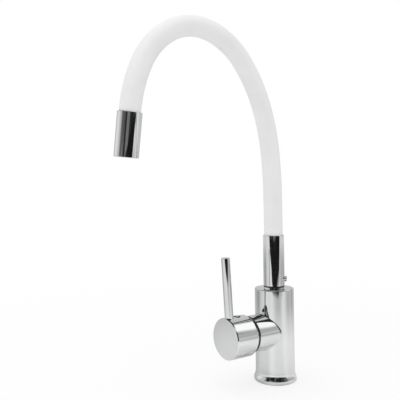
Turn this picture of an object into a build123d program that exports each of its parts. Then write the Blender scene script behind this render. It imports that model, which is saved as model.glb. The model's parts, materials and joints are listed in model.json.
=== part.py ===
from build123d import *
import math
import os

# A single-lever kitchen faucet with a bendable, silicone-covered neck.
# Millimetres. Origin at the centre of the foot ring's underside, +Z up.
# The handle and the spout both point along -Y at rest.

os.makedirs("parts", exist_ok=True)

# Clearances
running_fit = 0.05  # radial, between a shaft and its hole
travel_gap = 0.35  # between pieces that pass each other
cartridge_fit = 0.1  # radial, around the cartridge and its pegs
overrun = 2.0  # how far a cut runs past the material

# Body casting
body_diameter = 46.0
body_top_z = 108.6
body_edge_round = 1.2
spigot_wall = 2.6
spigot_lift = 1.2  # the spigot stops this far above the sink
foot_recess_depth = 24.0
handle_axis_z = 59.2
boss_wall = 3.15
boss_edge_bevel = 0.4
boss_root_round = 0.6  # where the boss grows out of the body
chamber_wall = 3.5  # around the outlet chamber under the nipple
chamber_height = 11.0

# Threaded holes under the body
inlet_core_diameter = 9.0
inlet_thread_length = 12.0
inlet_spread = 18.0
inlet_back = 2.0
stud_core_diameter = 6.8
stud_thread_length = 14.0
stud_forward = 9.0

# Foot ring and gasket
foot_height = 12.0
foot_flare = 2.0  # the ring stands this far outside the body
foot_wall = 3.5  # from the body's outside in to the spigot
flare_middle_shares = (0.254, 0.485)  # of the flare's width and height
foot_wall_height = 4.0
foot_gap = 0.4  # the ring hangs this far above the sink, on its gasket
foot_edge_bevel = 0.6
gasket_width = 2.6
gasket_height = 2.0
gasket_inset = 1.3

# Cartridge, stacked outward from its seat in the boss
cartridge_diameter = 35.0
cartridge_wall = 1.5
seat_distance = 8.5  # from the body's axis to the cartridge seat
base_plate_thickness = 4.0
fixed_disc_thickness = 3.0
moving_disc_thickness = 3.0
carrier_thickness = 6.5
carrier_floor = 1.2
rotor_flange_thickness = 3.0
cartridge_shoulder = 2.4
cartridge_neck_height = 4.0
cartridge_neck_wall = 2.0
rotor_diameter = 24.0
rotor_front_height = 7.0
nut_thickness = 6.5
nut_land = 1.25  # the nut's thread stands this far proud of the cartridge
nut_slot_width = 4.0
nut_slot_depth = 2.5
nut_slot_count = 4

# Ports of the cartridge
port_diameter = 6.4
inlet_port_spread = 18.0
inlet_port_drop = 7.0
outlet_port_rise = 10.0
port_passage_diameter = 7.0
seal_width = 1.5
seal_height = 1.4
peg_diameter = 4.0
peg_length = 3.0
peg_spread = 25.0
peg_rise = 5.0
fixed_disc_diameter = 30.0
moving_disc_diameter = 23.0
mixing_pocket_diameter = 15.0
mixing_pocket_depth = 1.6
disc_pin_diameter = 2.4
disc_pin_length = 1.6
disc_pin_spread = 18.0
carrier_diameter = 24.8
carrier_width = 23.2
rail_width = 3.4
rail_length = 12.0

# Stem and pivot of the handle
stem_width = 8.0
stem_length = 24.5  # from the pivot into the drum
stem_arm_diameter = 3.2
stem_ball_diameter = 5.0
stem_shoulder = 4.5
pivot_pin_diameter = 3.2
pivot_pin_margin = 1.0
handle_tilt = 22.0  # degrees, from closed to fully open

# Domed ring in the boss's mouth
dome_skirt_height = 3.0
dome_skirt_wall = 1.6
dome_wall = 1.6
dome_opening_diameter = 29.2

# Handle drum
drum_step = 2.35  # the drum's radius is larger than the boss's by this much
drum_length = 32.5
drum_taper_length = 4.5
drum_rear_step = 0.35
drum_face_bevel = 0.9
drum_wall = 4.0
drum_front_thickness = 9.9
hub_diameter = 19.0
hub_socket_depth = 2.0  # the hub's socket runs this far past the stem

# Lever pin
lever_diameter = 9.7
lever_length = 67.7
lever_lean = 3.5  # degrees, outward
lever_inset = 5.8  # from the drum's face to the lever's foot
lever_seat_depth = 0.6
lever_seat_margin = 0.3
lever_spigot_diameter = 5.0
lever_spigot_length = 9.0
lever_top_bevel = 0.5

# Set screw of the drum and its cover plug
screw_inset = 17.2
set_screw_diameter = 5.0
set_screw_length = 5.0
set_screw_socket_width = 2.5
set_screw_socket_depth = 2.2
plug_diameter = 7.4
plug_depth = 2.4
plug_proud = 0.5
plug_edge_bevel = 0.4
plug_dimple_diameter = 4.6
plug_dimple_depth = 0.35

# Swivel nipple on top of the body
nipple_diameter = 18.8
nipple_bore_diameter = 10.0
nipple_thread_diameter = 16.0
nipple_thread_length = 14.6
nipple_flange_diameter = 24.2
nipple_flange_thickness = 1.2
nipple_height = 34.8
nipple_edge_bevel = 0.8
o_ring_section = 2.0
o_ring_first = 17.0
o_ring_spacing = 8.0
o_ring_count = 2
glide_ring_thickness = 1.1
glide_ring_diameter = 24.4

# Spout socket
socket_height = 59.8
socket_lip = 1.35  # wall around the neck
socket_edge_bevel = 0.4
socket_web_height = 7.0
neck_seat_depth = 14.0
neck_fit = 0.15

# Retaining screw in the side of the socket
screw_height = 8.0
screw_turn = 45.0  # degrees, from the back towards +X
screw_head_diameter = 6.6
screw_head_height = 2.6
screw_head_bevel = 0.8
screw_shank_diameter = 3.4
screw_tip_depth = 1.1
screw_slot_width = 1.0
screw_slot_depth = 0.9

# Bendable neck: equal arcs that join without a kink
neck_arc_length = 52.4
neck_turns = (1, 7, 14, 18.5, 36, 44, 34, 25)  # degrees
neck_rolls = (0, 0, 0, 0, 0, 0, 0, -20)  # degrees, of each arc's plane about the line
hose_diameter = 22.0
sleeve_wall = 2.0
core_wall = 1.8
tube_wall = 1.9
layer_fit = 0.1
ball_over_hose = 0.8  # the ball joint's radius is larger than the hose's

# Hose connectors
connector_flange_thickness = 1.6
connector_thread_diameter = 13.0
connector_bore_diameter = 6.0
barb_length = 16.0
barb_step = 0.5
barb_count = 3
barb_ramp_share = 0.3  # of the pitch, straight before each tooth

# Nozzle and aerator
nozzle_length = 45.0
nozzle_lip = 1.45
nozzle_edge_bevel = 0.4
nozzle_seat_depth = 12.0
nozzle_web_height = 6.0
nozzle_lower_wall = 1.9
aerator_height = 15.0
aerator_inset = 0.8
aerator_wall = 1.4
aerator_lip_height = 2.0
aerator_ledge = 1.2
washer_thickness = 2.0
washer_width = 3.0
insert_height = 8.0
jet_width = 1.7
jet_ring_diameters = (7.0, 13.0)
jet_ring_counts = (6, 12)
screen_thickness = 0.8
screen_hole_width = 2.4
screen_ring_diameter = 10.0
screen_hole_count = 8

# Sizes that follow from the ones above
body_radius = body_diameter / 2
cartridge_radius = cartridge_diameter / 2
cavity_radius = cartridge_radius + cartridge_fit
nut_radius = cartridge_radius + nut_land
mouth_radius = nut_radius + running_fit
boss_radius = cavity_radius + boss_wall
spigot_radius = body_radius - foot_wall
recess_radius = spigot_radius - spigot_wall

base_plate_front = seat_distance + base_plate_thickness
fixed_disc_front = base_plate_front + fixed_disc_thickness
moving_disc_front = fixed_disc_front + moving_disc_thickness
carrier_front = moving_disc_front + carrier_thickness
flange_back = carrier_front + travel_gap
flange_front = flange_back + rotor_flange_thickness
shoulder_back = flange_front + travel_gap
cartridge_front = shoulder_back + cartridge_shoulder
rotor_front = cartridge_front + rotor_front_height
nut_front = cartridge_front + nut_thickness
boss_reach = nut_front + dome_skirt_height
pivot_distance = cartridge_front

ball_radius = stem_ball_diameter / 2
ball_hole_radius = ball_radius + travel_gap
ball_distance = moving_disc_front + carrier_floor + travel_gap + ball_radius

# The boss's rim, the dome and the drum's hollow are spheres about the pivot
rim_height = boss_reach - pivot_distance
dome_radius = math.hypot(boss_radius, rim_height)
hollow_radius = dome_radius + travel_gap
drum_rear_radius = boss_radius - drum_rear_step
drum_radius = boss_radius + drum_step
drum_rear = pivot_distance + math.sqrt(hollow_radius**2 - drum_rear_radius**2)
drum_face = drum_rear + drum_length
pocket_front = drum_face - drum_front_thickness
pocket_radius = drum_radius - drum_wall
hub_radius = hub_diameter / 2

nipple_radius = nipple_diameter / 2
socket_bore_radius = nipple_radius + running_fit
glide_ring_z = body_top_z + nipple_flange_thickness
socket_bottom_z = glide_ring_z + glide_ring_thickness + travel_gap
neck_start_z = socket_bottom_z + socket_height
nipple_top_z = glide_ring_z + nipple_height
screw_z = socket_bottom_z + screw_height
neck_seat_z = neck_start_z - neck_seat_depth
web_bottom_z = neck_seat_z - socket_web_height

hose_radius = hose_diameter / 2
sleeve_bore_radius = hose_radius - sleeve_wall
core_radius = sleeve_bore_radius - layer_fit
core_bore_radius = core_radius - core_wall
tube_radius = core_bore_radius - layer_fit
tube_bore_radius = tube_radius - tube_wall
socket_radius = hose_radius + neck_fit + socket_lip
nozzle_radius = hose_radius + neck_fit + nozzle_lip
ball_joint_radius = hose_radius + ball_over_hose
ball_socket_radius = ball_joint_radius + travel_gap

# Working planes
handle_axis = Axis((0, 0, handle_axis_z), (0, -1, 0))


def handle_plane(distance):
    """Square to the handle's axis, local Z outward, local Y up."""
    return Plane(origin=(0, -distance, handle_axis_z), x_dir=(1, 0, 0), z_dir=(0, -1, 0))


# Local X is the radius from the handle's axis, local Y the distance outward
handle_profile = Plane(origin=(0, 0, handle_axis_z), x_dir=(0, 0, 1), z_dir=(1, 0, 0))


def ring_profile(inner, outer, low, high):
    """Corners of a rectangle to be revolved into a ring."""
    return [(inner, low), (outer, low), (outer, high), (inner, high)]


def finish(builder, label):
    """Name a finished piece and write its file."""
    builder.part.label = label
    export_step(builder.part, f"parts/{label}.step")


# Body casting
outlet_z = handle_axis_z + outlet_port_rise
inlet_port_z = handle_axis_z - inlet_port_drop
nipple_thread_z = body_top_z - nipple_thread_length
port_points = [
    (-inlet_port_spread / 2, -inlet_port_drop),
    (inlet_port_spread / 2, -inlet_port_drop),
    (0, outlet_port_rise),
]
peg_points = [(-peg_spread / 2, peg_rise), (peg_spread / 2, peg_rise)]
inlet_points = [(-inlet_spread / 2, inlet_back), (inlet_spread / 2, inlet_back)]

with BuildPart() as body_casting:
    with BuildSketch(Plane.XY.offset(foot_height)):
        Circle(body_radius)
    extrude(amount=body_top_z - foot_height)
    fillet(body_casting.edges().group_by(Axis.Z)[-1], body_edge_round)
    with BuildSketch(Plane.XY.offset(spigot_lift)):
        Circle(spigot_radius)
    extrude(amount=foot_height - spigot_lift)
    with BuildSketch(handle_plane(0)):
        Circle(boss_radius)
    extrude(amount=boss_reach)
    chamfer(body_casting.edges().group_by(Axis.Y)[0], boss_edge_bevel)
    # The only edge that is neither a circle nor a line runs where the boss meets the body
    fillet(body_casting.edges().filter_by(GeomType.BSPLINE), boss_root_round)
    # Recess for the hose ends, and the holes in its ceiling
    with BuildSketch(Plane.XY.offset(spigot_lift)):
        Circle(recess_radius)
    extrude(amount=foot_recess_depth - spigot_lift, mode=Mode.SUBTRACT)
    with BuildSketch(Plane.XY.offset(foot_recess_depth)):
        with Locations(*inlet_points):
            Circle(inlet_core_diameter / 2)
    extrude(amount=inlet_thread_length, mode=Mode.SUBTRACT)
    with BuildSketch(Plane.XY.offset(foot_recess_depth)):
        with Locations((0, -stud_forward)):
            Circle(stud_core_diameter / 2)
    extrude(amount=stud_thread_length, mode=Mode.SUBTRACT)
    # Water ways: two inlets up to their ports, one outlet up to the nipple
    with BuildSketch(Plane.XY.offset(foot_recess_depth)):
        with Locations(*inlet_points):
            Circle(port_passage_diameter / 2)
    extrude(amount=inlet_port_z + port_diameter / 2 - foot_recess_depth, mode=Mode.SUBTRACT)
    with BuildSketch(handle_plane(-inlet_back)):
        with Locations(*port_points[:2]):
            Circle(port_diameter / 2)
    extrude(amount=seat_distance + inlet_back, mode=Mode.SUBTRACT)
    with BuildSketch(handle_plane(0)):
        with Locations(port_points[2]):
            Circle(port_diameter / 2)
    extrude(amount=seat_distance, mode=Mode.SUBTRACT)
    with BuildSketch(Plane.XY.offset(outlet_z - port_diameter / 2)):
        Circle(port_passage_diameter / 2)
    extrude(amount=nipple_thread_z - outlet_z + port_diameter / 2, mode=Mode.SUBTRACT)
    # Chamber under the nipple, and the thread that holds it
    with BuildSketch(Plane.XY.offset(nipple_thread_z - chamber_height)):
        Circle(body_radius - chamber_wall)
    extrude(amount=chamber_height, mode=Mode.SUBTRACT)
    with BuildSketch(Plane.XY.offset(nipple_thread_z)):
        Circle(nipple_thread_diameter / 2 + running_fit)
    extrude(amount=nipple_thread_length, mode=Mode.SUBTRACT)
    # Seat of the cartridge, the holes for its pegs, and the mouth for the nut
    with BuildSketch(handle_plane(seat_distance)):
        Circle(cavity_radius)
    extrude(amount=cartridge_front - seat_distance, mode=Mode.SUBTRACT)
    with BuildSketch(handle_plane(seat_distance - peg_length - travel_gap)):
        with Locations(*peg_points):
            Circle(peg_diameter / 2 + cartridge_fit)
    extrude(amount=peg_length + travel_gap, mode=Mode.SUBTRACT)
    with BuildSketch(handle_plane(cartridge_front)):
        Circle(mouth_radius)
    extrude(amount=boss_reach - cartridge_front, mode=Mode.SUBTRACT)
finish(body_casting, "body_casting")

# Foot ring: straight wall below, then a hollow flare that ends upright at the body
foot_radius = body_radius + foot_flare
gasket_outer = foot_radius - gasket_inset
gasket_inner = gasket_outer - gasket_width
flare_middle = (
    body_radius + foot_flare * flare_middle_shares[0],
    foot_wall_height + (foot_height - foot_wall_height) * flare_middle_shares[1],
)

with BuildPart() as base_ring:
    with BuildSketch(Plane.XZ):
        with BuildLine():
            Polyline(
                (body_radius, foot_height),
                (spigot_radius + running_fit, foot_height),
                (spigot_radius + running_fit, foot_gap),
                (foot_radius - foot_edge_bevel, foot_gap),
                (foot_radius, foot_gap + foot_edge_bevel),
                (foot_radius, foot_wall_height),
            )
            ThreePointArc((foot_radius, foot_wall_height), flare_middle, (body_radius, foot_height))
        make_face()
        with BuildLine():
            Polyline(
                *ring_profile(
                    gasket_inner - running_fit,
                    gasket_outer + running_fit,
                    0,
                    gasket_height + running_fit,
                ),
                close=True,
            )
        make_face(mode=Mode.SUBTRACT)
    revolve(axis=Axis.Z)
finish(base_ring, "base_ring")

with BuildPart() as base_gasket:
    with BuildSketch(Plane.XY):
        Circle(gasket_outer)
        Circle(gasket_inner, mode=Mode.SUBTRACT)
    extrude(amount=gasket_height)
finish(base_gasket, "base_gasket")

# Swivel nipple: thread below, flange, then a turned stem with grooves
o_ring_radius = o_ring_section / 2
o_ring_levels = [glide_ring_z + o_ring_first + o_ring_spacing * step for step in range(o_ring_count)]
groove_floor = nipple_radius - o_ring_section - running_fit
groove_half = o_ring_radius + running_fit
screw_groove_floor = nipple_radius - screw_tip_depth - travel_gap
screw_groove_half = screw_shank_diameter / 2 + travel_gap

with BuildPart() as swivel_nipple:
    with BuildSketch(Plane.XZ):
        with BuildLine():
            Polyline(
                (nipple_bore_diameter / 2, nipple_thread_z + running_fit),
                (nipple_thread_diameter / 2, nipple_thread_z + running_fit),
                (nipple_thread_diameter / 2, body_top_z),
                (nipple_flange_diameter / 2, body_top_z),
                (nipple_flange_diameter / 2, glide_ring_z),
                (nipple_radius, glide_ring_z),
                (nipple_radius, nipple_top_z - nipple_edge_bevel),
                (nipple_radius - nipple_edge_bevel, nipple_top_z),
                (nipple_bore_diameter / 2, nipple_top_z),
                close=True,
            )
        make_face()
    revolve(axis=Axis.Z)
    with BuildSketch(Plane.XZ):
        grooves = [(groove_floor, level, groove_half) for level in o_ring_levels]
        grooves.append((screw_groove_floor, screw_z, screw_groove_half))
        for floor, level, half in grooves:
            with BuildLine():
                Polyline(
                    *ring_profile(floor, nipple_radius + overrun, level - half, level + half),
                    close=True,
                )
            make_face()
    revolve(axis=Axis.Z, mode=Mode.SUBTRACT)
finish(swivel_nipple, "swivel_nipple")

with BuildPart() as nipple_o_rings:
    with BuildSketch(Plane.XZ):
        for level in o_ring_levels:
            with Locations((nipple_radius - o_ring_radius, level)):
                RegularPolygon(o_ring_radius, 6)
    revolve(axis=Axis.Z)
finish(nipple_o_rings, "nipple_o_rings")

with BuildPart() as glide_ring:
    with BuildSketch(Plane.XY.offset(glide_ring_z)):
        Circle(glide_ring_diameter / 2)
        Circle(nipple_radius + running_fit, mode=Mode.SUBTRACT)
    extrude(amount=glide_ring_thickness)
finish(glide_ring, "glide_ring")

# Cartridge: base plate with ports, locating pegs and seal seats
seal_outer = port_diameter / 2 + seal_width

with BuildPart() as cartridge_base:
    with BuildSketch(handle_plane(seat_distance)):
        Circle(cartridge_radius)
        with Locations(*port_points):
            Circle(port_diameter / 2, mode=Mode.SUBTRACT)
    extrude(amount=base_plate_thickness)
    with BuildSketch(handle_plane(seat_distance - peg_length)):
        with Locations(*peg_points):
            Circle(peg_diameter / 2)
    extrude(amount=peg_length)
    with BuildSketch(handle_plane(seat_distance)):
        with Locations(*port_points):
            Circle(seal_outer + running_fit)
    extrude(amount=seal_height, mode=Mode.SUBTRACT)
finish(cartridge_base, "cartridge_base")

with BuildPart() as cartridge_port_seals:
    with BuildSketch(handle_plane(seat_distance)):
        with Locations(*port_points):
            Circle(seal_outer)
            Circle(port_diameter / 2, mode=Mode.SUBTRACT)
    extrude(amount=seal_height)
finish(cartridge_port_seals, "cartridge_port_seals")

with BuildPart() as fixed_ceramic_disc:
    with BuildSketch(handle_plane(base_plate_front)):
        Circle(fixed_disc_diameter / 2)
        with Locations(*port_points):
            Circle(port_diameter / 2, mode=Mode.SUBTRACT)
    extrude(amount=fixed_disc_thickness)
finish(fixed_ceramic_disc, "fixed_ceramic_disc")

# Upper disc, with the chamber that joins the ports on its lower side
disc_pin_points = [(-disc_pin_spread / 2, 0), (disc_pin_spread / 2, 0)]

with BuildPart() as moving_ceramic_disc:
    with BuildSketch(handle_plane(fixed_disc_front)):
        Circle(moving_disc_diameter / 2)
    extrude(amount=moving_disc_thickness)
    with BuildSketch(handle_plane(fixed_disc_front)):
        Circle(mixing_pocket_diameter / 2)
    extrude(amount=mixing_pocket_depth, mode=Mode.SUBTRACT)
    with BuildSketch(handle_plane(moving_disc_front - disc_pin_length - running_fit)):
        with Locations(*disc_pin_points):
            Circle(disc_pin_diameter / 2 + running_fit)
    extrude(amount=disc_pin_length + running_fit, mode=Mode.SUBTRACT)
finish(moving_ceramic_disc, "moving_ceramic_disc")

with BuildPart() as disc_carrier:
    with BuildSketch(handle_plane(moving_disc_front)):
        Circle(carrier_diameter / 2)
        Rectangle(carrier_width, carrier_diameter, mode=Mode.INTERSECT)
    extrude(amount=carrier_thickness)
    with BuildSketch(handle_plane(moving_disc_front - disc_pin_length)):
        with Locations(*disc_pin_points):
            Circle(disc_pin_diameter / 2)
    extrude(amount=disc_pin_length)
    with BuildSketch(handle_plane(moving_disc_front + carrier_floor)):
        Circle(ball_hole_radius)
    extrude(amount=carrier_thickness - carrier_floor, mode=Mode.SUBTRACT)
finish(disc_carrier, "disc_carrier")

# Rotor: flange with two rails that guide the carrier, neck with the stem slot
housing_bore_radius = cartridge_radius - cartridge_wall
flange_radius = housing_bore_radius - travel_gap
rotor_radius = rotor_diameter / 2
tilt = math.radians(handle_tilt)
half_stem = stem_width / 2
rotor_nose = rotor_front - pivot_distance
slot_low = rotor_nose * math.tan(tilt) + half_stem / math.cos(tilt) + travel_gap
slot_high = stem_shoulder * math.sin(tilt) + half_stem + travel_gap
rail_inner = carrier_width / 2 + travel_gap
pivot_pin_radius = pivot_pin_diameter / 2
pivot_pin_length = rotor_diameter - pivot_pin_margin * 2
pivot_bore_plane = Plane(
    origin=(-pivot_pin_length / 2, -pivot_distance, handle_axis_z), x_dir=(0, 1, 0), z_dir=(1, 0, 0)
)

with BuildPart() as cartridge_rotor:
    with BuildSketch(handle_plane(flange_back)):
        Circle(flange_radius)
    extrude(amount=rotor_flange_thickness)
    with BuildSketch(handle_plane(flange_front)):
        Circle(rotor_radius)
    extrude(amount=rotor_front - flange_front)
    with BuildSketch(handle_plane(moving_disc_front + travel_gap)):
        with Locations((-rail_inner - rail_width / 2, 0), (rail_inner + rail_width / 2, 0)):
            Rectangle(rail_width, rail_length)
        Circle(flange_radius, mode=Mode.INTERSECT)
    extrude(amount=flange_back - moving_disc_front - travel_gap)
    with BuildSketch(handle_plane(flange_back)):
        with Locations((0, (slot_high - slot_low) / 2)):
            Rectangle(stem_width + travel_gap * 2, slot_high + slot_low)
    extrude(amount=rotor_front - flange_back, mode=Mode.SUBTRACT)
    with BuildSketch(pivot_bore_plane):
        Circle(pivot_pin_radius)
    extrude(amount=pivot_pin_length, mode=Mode.SUBTRACT)
finish(cartridge_rotor, "cartridge_rotor")

with BuildPart() as pivot_pin:
    with BuildSketch(pivot_bore_plane):
        Circle(pivot_pin_radius)
    extrude(amount=pivot_pin_length)
finish(pivot_pin, "pivot_pin")

with BuildPart() as cartridge_housing:
    with BuildSketch(handle_profile):
        with BuildLine():
            Polyline(
                (housing_bore_radius, base_plate_front),
                (cartridge_radius, base_plate_front),
                (cartridge_radius, cartridge_front),
                (rotor_radius + running_fit + cartridge_neck_wall, cartridge_front),
                (rotor_radius + running_fit + cartridge_neck_wall, cartridge_front + cartridge_neck_height),
                (rotor_radius + running_fit, cartridge_front + cartridge_neck_height),
                (rotor_radius + running_fit, shoulder_back),
                (housing_bore_radius, shoulder_back),
                close=True,
            )
        make_face()
    revolve(axis=handle_axis)
finish(cartridge_housing, "cartridge_housing")

# Nut with four slots for its key
nut_bore_radius = rotor_radius + running_fit + cartridge_neck_wall + travel_gap

with BuildPart() as cartridge_nut:
    with BuildSketch(handle_plane(cartridge_front)):
        Circle(nut_radius)
        Circle(nut_bore_radius, mode=Mode.SUBTRACT)
    extrude(amount=nut_thickness)
    with BuildSketch(handle_plane(nut_front - nut_slot_depth)):
        with PolarLocations(nut_bore_radius, nut_slot_count, start_angle=180 / nut_slot_count):
            Rectangle(nut_radius, nut_slot_width)
        Circle(nut_radius - dome_skirt_wall, mode=Mode.INTERSECT)
    extrude(amount=nut_slot_depth, mode=Mode.SUBTRACT)
finish(cartridge_nut, "cartridge_nut")


def sphere_point(radius, reach):
    """Point of a sphere about the pivot, at a given distance from the axis."""
    return (reach, pivot_distance + math.sqrt(radius**2 - reach**2))


# Domed ring: a slice of a sphere about the pivot, on a skirt that rests on the nut
dome_opening = dome_opening_diameter / 2
dome_inner_radius = dome_radius - dome_wall
skirt_bore = nut_radius - dome_skirt_wall
dome_edge = math.sqrt(dome_radius**2 - rim_height**2)

with BuildPart() as dome_cap:
    with BuildSketch(handle_profile):
        with BuildLine():
            Polyline(
                sphere_point(dome_inner_radius, skirt_bore),
                (skirt_bore, nut_front),
                (nut_radius, nut_front),
                (nut_radius, boss_reach),
                (dome_edge, boss_reach),
            )
            ThreePointArc(
                (dome_edge, boss_reach),
                sphere_point(dome_radius, (dome_edge + dome_opening) / 2),
                sphere_point(dome_radius, dome_opening),
            )
            Line(sphere_point(dome_radius, dome_opening), sphere_point(dome_inner_radius, dome_opening))
            ThreePointArc(
                sphere_point(dome_inner_radius, dome_opening),
                sphere_point(dome_inner_radius, (dome_opening + skirt_bore) / 2),
                sphere_point(dome_inner_radius, skirt_bore),
            )
        make_face()
    revolve(axis=handle_axis)
finish(dome_cap, "dome_cap")

# Stem: square bar for the drum, round arm and ball for the carrier
arm_start = pivot_distance - stem_shoulder

with BuildPart() as cartridge_stem:
    with BuildSketch(handle_plane(arm_start)):
        Rectangle(stem_width, stem_width)
    extrude(amount=stem_shoulder + stem_length)
    with BuildSketch(handle_plane(ball_distance)):
        Circle(stem_arm_diameter / 2)
    extrude(amount=arm_start - ball_distance)
    with Locations((0, -ball_distance, handle_axis_z)):
        Sphere(ball_radius)
    with BuildSketch(pivot_bore_plane):
        Circle(pivot_pin_radius + running_fit)
    extrude(amount=pivot_pin_length, mode=Mode.SUBTRACT)
finish(cartridge_stem, "cartridge_stem")

# Handle drum: hollow rear that clears the dome, hub with a square socket
screw_distance = drum_face - screw_inset
lever_distance = drum_face - lever_inset
lever_seat_z = handle_axis_z + drum_radius - lever_seat_depth
lever_radius = lever_diameter / 2
lever_tilt = math.radians(lever_lean)
lever_plane = Plane(
    origin=(0, -lever_distance, lever_seat_z),
    x_dir=(1, 0, 0),
    z_dir=(0, -math.sin(lever_tilt), math.cos(lever_tilt)),
)
plug_seat_z = handle_axis_z + drum_radius - plug_depth
set_screw_z = handle_axis_z + half_stem + running_fit

with BuildPart() as handle_drum:
    with BuildSketch(handle_profile):
        with BuildLine():
            Polyline(
                (0, drum_rear),
                (drum_rear_radius, drum_rear),
                (drum_radius, drum_rear + drum_taper_length),
                (drum_radius, drum_face - drum_face_bevel),
                (drum_radius - drum_face_bevel, drum_face),
                (0, drum_face),
                close=True,
            )
        make_face()
    revolve(axis=handle_axis)
    with BuildSketch(handle_plane(drum_rear)):
        Circle(pocket_radius)
        Circle(hub_radius, mode=Mode.SUBTRACT)
    extrude(amount=pocket_front - drum_rear, mode=Mode.SUBTRACT)
    with Locations((0, -pivot_distance, handle_axis_z)):
        Sphere(hollow_radius, mode=Mode.SUBTRACT)
    with BuildSketch(handle_plane(pivot_distance)):
        Rectangle(stem_width + running_fit * 2, stem_width + running_fit * 2)
    extrude(amount=stem_length + hub_socket_depth, mode=Mode.SUBTRACT)
    # Seat and threaded hole of the lever
    with BuildSketch(lever_plane):
        Circle(lever_radius + lever_seat_margin)
    extrude(amount=lever_seat_depth + overrun, mode=Mode.SUBTRACT)
    with BuildSketch(lever_plane):
        Circle(lever_spigot_diameter / 2 + running_fit)
    extrude(amount=-lever_spigot_length - travel_gap, mode=Mode.SUBTRACT)
    # Hole of the set screw, wider at the top for its plug
    with BuildSketch(Plane.XY.offset(handle_axis_z)):
        with Locations((0, -screw_distance)):
            Circle(set_screw_diameter / 2 + running_fit)
    extrude(amount=drum_radius, mode=Mode.SUBTRACT)
    with BuildSketch(Plane.XY.offset(plug_seat_z)):
        with Locations((0, -screw_distance)):
            Circle(plug_diameter / 2 + running_fit)
    extrude(amount=plug_depth, mode=Mode.SUBTRACT)
finish(handle_drum, "handle_drum")

with BuildPart() as lever_pin:
    with BuildSketch(lever_plane):
        Circle(lever_radius)
    extrude(amount=lever_length)
    chamfer(lever_pin.edges().group_by(Axis.Z)[-1], lever_top_bevel)
    with BuildSketch(lever_plane):
        Circle(lever_spigot_diameter / 2)
    extrude(amount=-lever_spigot_length)
finish(lever_pin, "lever_pin")

with BuildPart() as handle_set_screw:
    with BuildSketch(Plane.XY.offset(set_screw_z)):
        with Locations((0, -screw_distance)):
            Circle(set_screw_diameter / 2)
    extrude(amount=set_screw_length)
    with BuildSketch(Plane.XY.offset(set_screw_z + set_screw_length - set_screw_socket_depth)):
        with Locations((0, -screw_distance)):
            RegularPolygon(set_screw_socket_width / 2, 6, major_radius=False)
    extrude(amount=set_screw_socket_depth, mode=Mode.SUBTRACT)
finish(handle_set_screw, "handle_set_screw")

with BuildPart() as index_plug:
    with BuildSketch(Plane.XY.offset(plug_seat_z)):
        with Locations((0, -screw_distance)):
            Circle(plug_diameter / 2)
    extrude(amount=plug_depth + plug_proud)
    chamfer(index_plug.edges().group_by(Axis.Z)[-1], plug_edge_bevel)
    with BuildSketch(Plane.XY.offset(plug_seat_z + plug_depth + plug_proud - plug_dimple_depth)):
        with Locations((0, -screw_distance)):
            Circle(plug_dimple_diameter / 2)
    extrude(amount=plug_dimple_depth, mode=Mode.SUBTRACT)
finish(index_plug, "index_plug")

# Spout socket: bore for the nipple below, web with a thread, seat for the neck above
connector_thread_radius = connector_thread_diameter / 2
screw_outward = (math.sin(math.radians(screw_turn)), math.cos(math.radians(screw_turn)), 0)
screw_plane = Plane(origin=(0, 0, screw_z), x_dir=(0, 0, 1), z_dir=screw_outward)

with BuildPart() as spout_socket:
    with BuildSketch(Plane.XZ):
        with BuildLine():
            Polyline(
                (socket_bore_radius, socket_bottom_z),
                (socket_radius, socket_bottom_z),
                (socket_radius, neck_start_z),
                (hose_radius + neck_fit, neck_start_z),
                (hose_radius + neck_fit, neck_seat_z),
                (connector_thread_radius + running_fit, neck_seat_z),
                (connector_thread_radius + running_fit, web_bottom_z),
                (socket_bore_radius, web_bottom_z),
                close=True,
            )
        make_face()
    revolve(axis=Axis.Z)
    outer_edges = spout_socket.edges().filter_by(GeomType.CIRCLE).sort_by(SortBy.RADIUS)[-2:]
    chamfer(outer_edges, socket_edge_bevel)
    with BuildSketch(screw_plane):
        Circle(screw_shank_diameter / 2 + running_fit)
    extrude(amount=socket_radius, mode=Mode.SUBTRACT)
finish(spout_socket, "spout_socket")

screw_tip = nipple_radius - screw_tip_depth
screw_head_start = math.sqrt(socket_radius**2 - (screw_head_diameter / 2) ** 2)

with BuildPart() as socket_screw:
    with BuildSketch(screw_plane.offset(screw_head_start)):
        Circle(screw_head_diameter / 2)
    extrude(amount=socket_radius - screw_head_start + screw_head_height)
    outermost = socket_screw.edges().group_by(Axis((0, 0, screw_z), screw_outward))[-1]
    chamfer(outermost, screw_head_bevel)
    with BuildSketch(screw_plane.offset(socket_radius + screw_head_height - screw_slot_depth)):
        Rectangle(screw_slot_width, screw_head_diameter)
    extrude(amount=screw_slot_depth, mode=Mode.SUBTRACT)
    # The head's underside is hollow, to sit on the round socket
    with BuildSketch(Plane.XY.offset(screw_z - screw_head_diameter)):
        Circle(socket_radius)
    extrude(amount=screw_head_diameter * 2, mode=Mode.SUBTRACT)
    with BuildSketch(screw_plane.offset(screw_tip)):
        Circle(screw_shank_diameter / 2)
    extrude(amount=socket_radius - screw_tip + screw_head_height / 2)
finish(socket_screw, "socket_screw")


def connector_profile(flange_level, thread_end, barb_end):
    """Half outline of a hose connector: thread, flange, then saw-tooth barbs."""
    sign = 1 if barb_end > flange_level else -1
    barb_start = flange_level + sign * connector_flange_thickness
    pitch = (barb_end - barb_start) / barb_count
    bore = connector_bore_diameter / 2
    outline = [
        (bore, thread_end),
        (connector_thread_radius, thread_end),
        (connector_thread_radius, flange_level),
        (core_radius, flange_level),
        (core_radius, barb_start),
        (tube_bore_radius - barb_step, barb_start),
    ]
    for tooth in range(barb_count):
        level = barb_start + pitch * tooth
        outline.append((tube_bore_radius - barb_step, level + pitch * barb_ramp_share))
        outline.append((tube_bore_radius, level + pitch * barb_ramp_share))
        outline.append((tube_bore_radius - barb_step, level + pitch))
    outline.append((bore, barb_end))
    return outline


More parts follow.
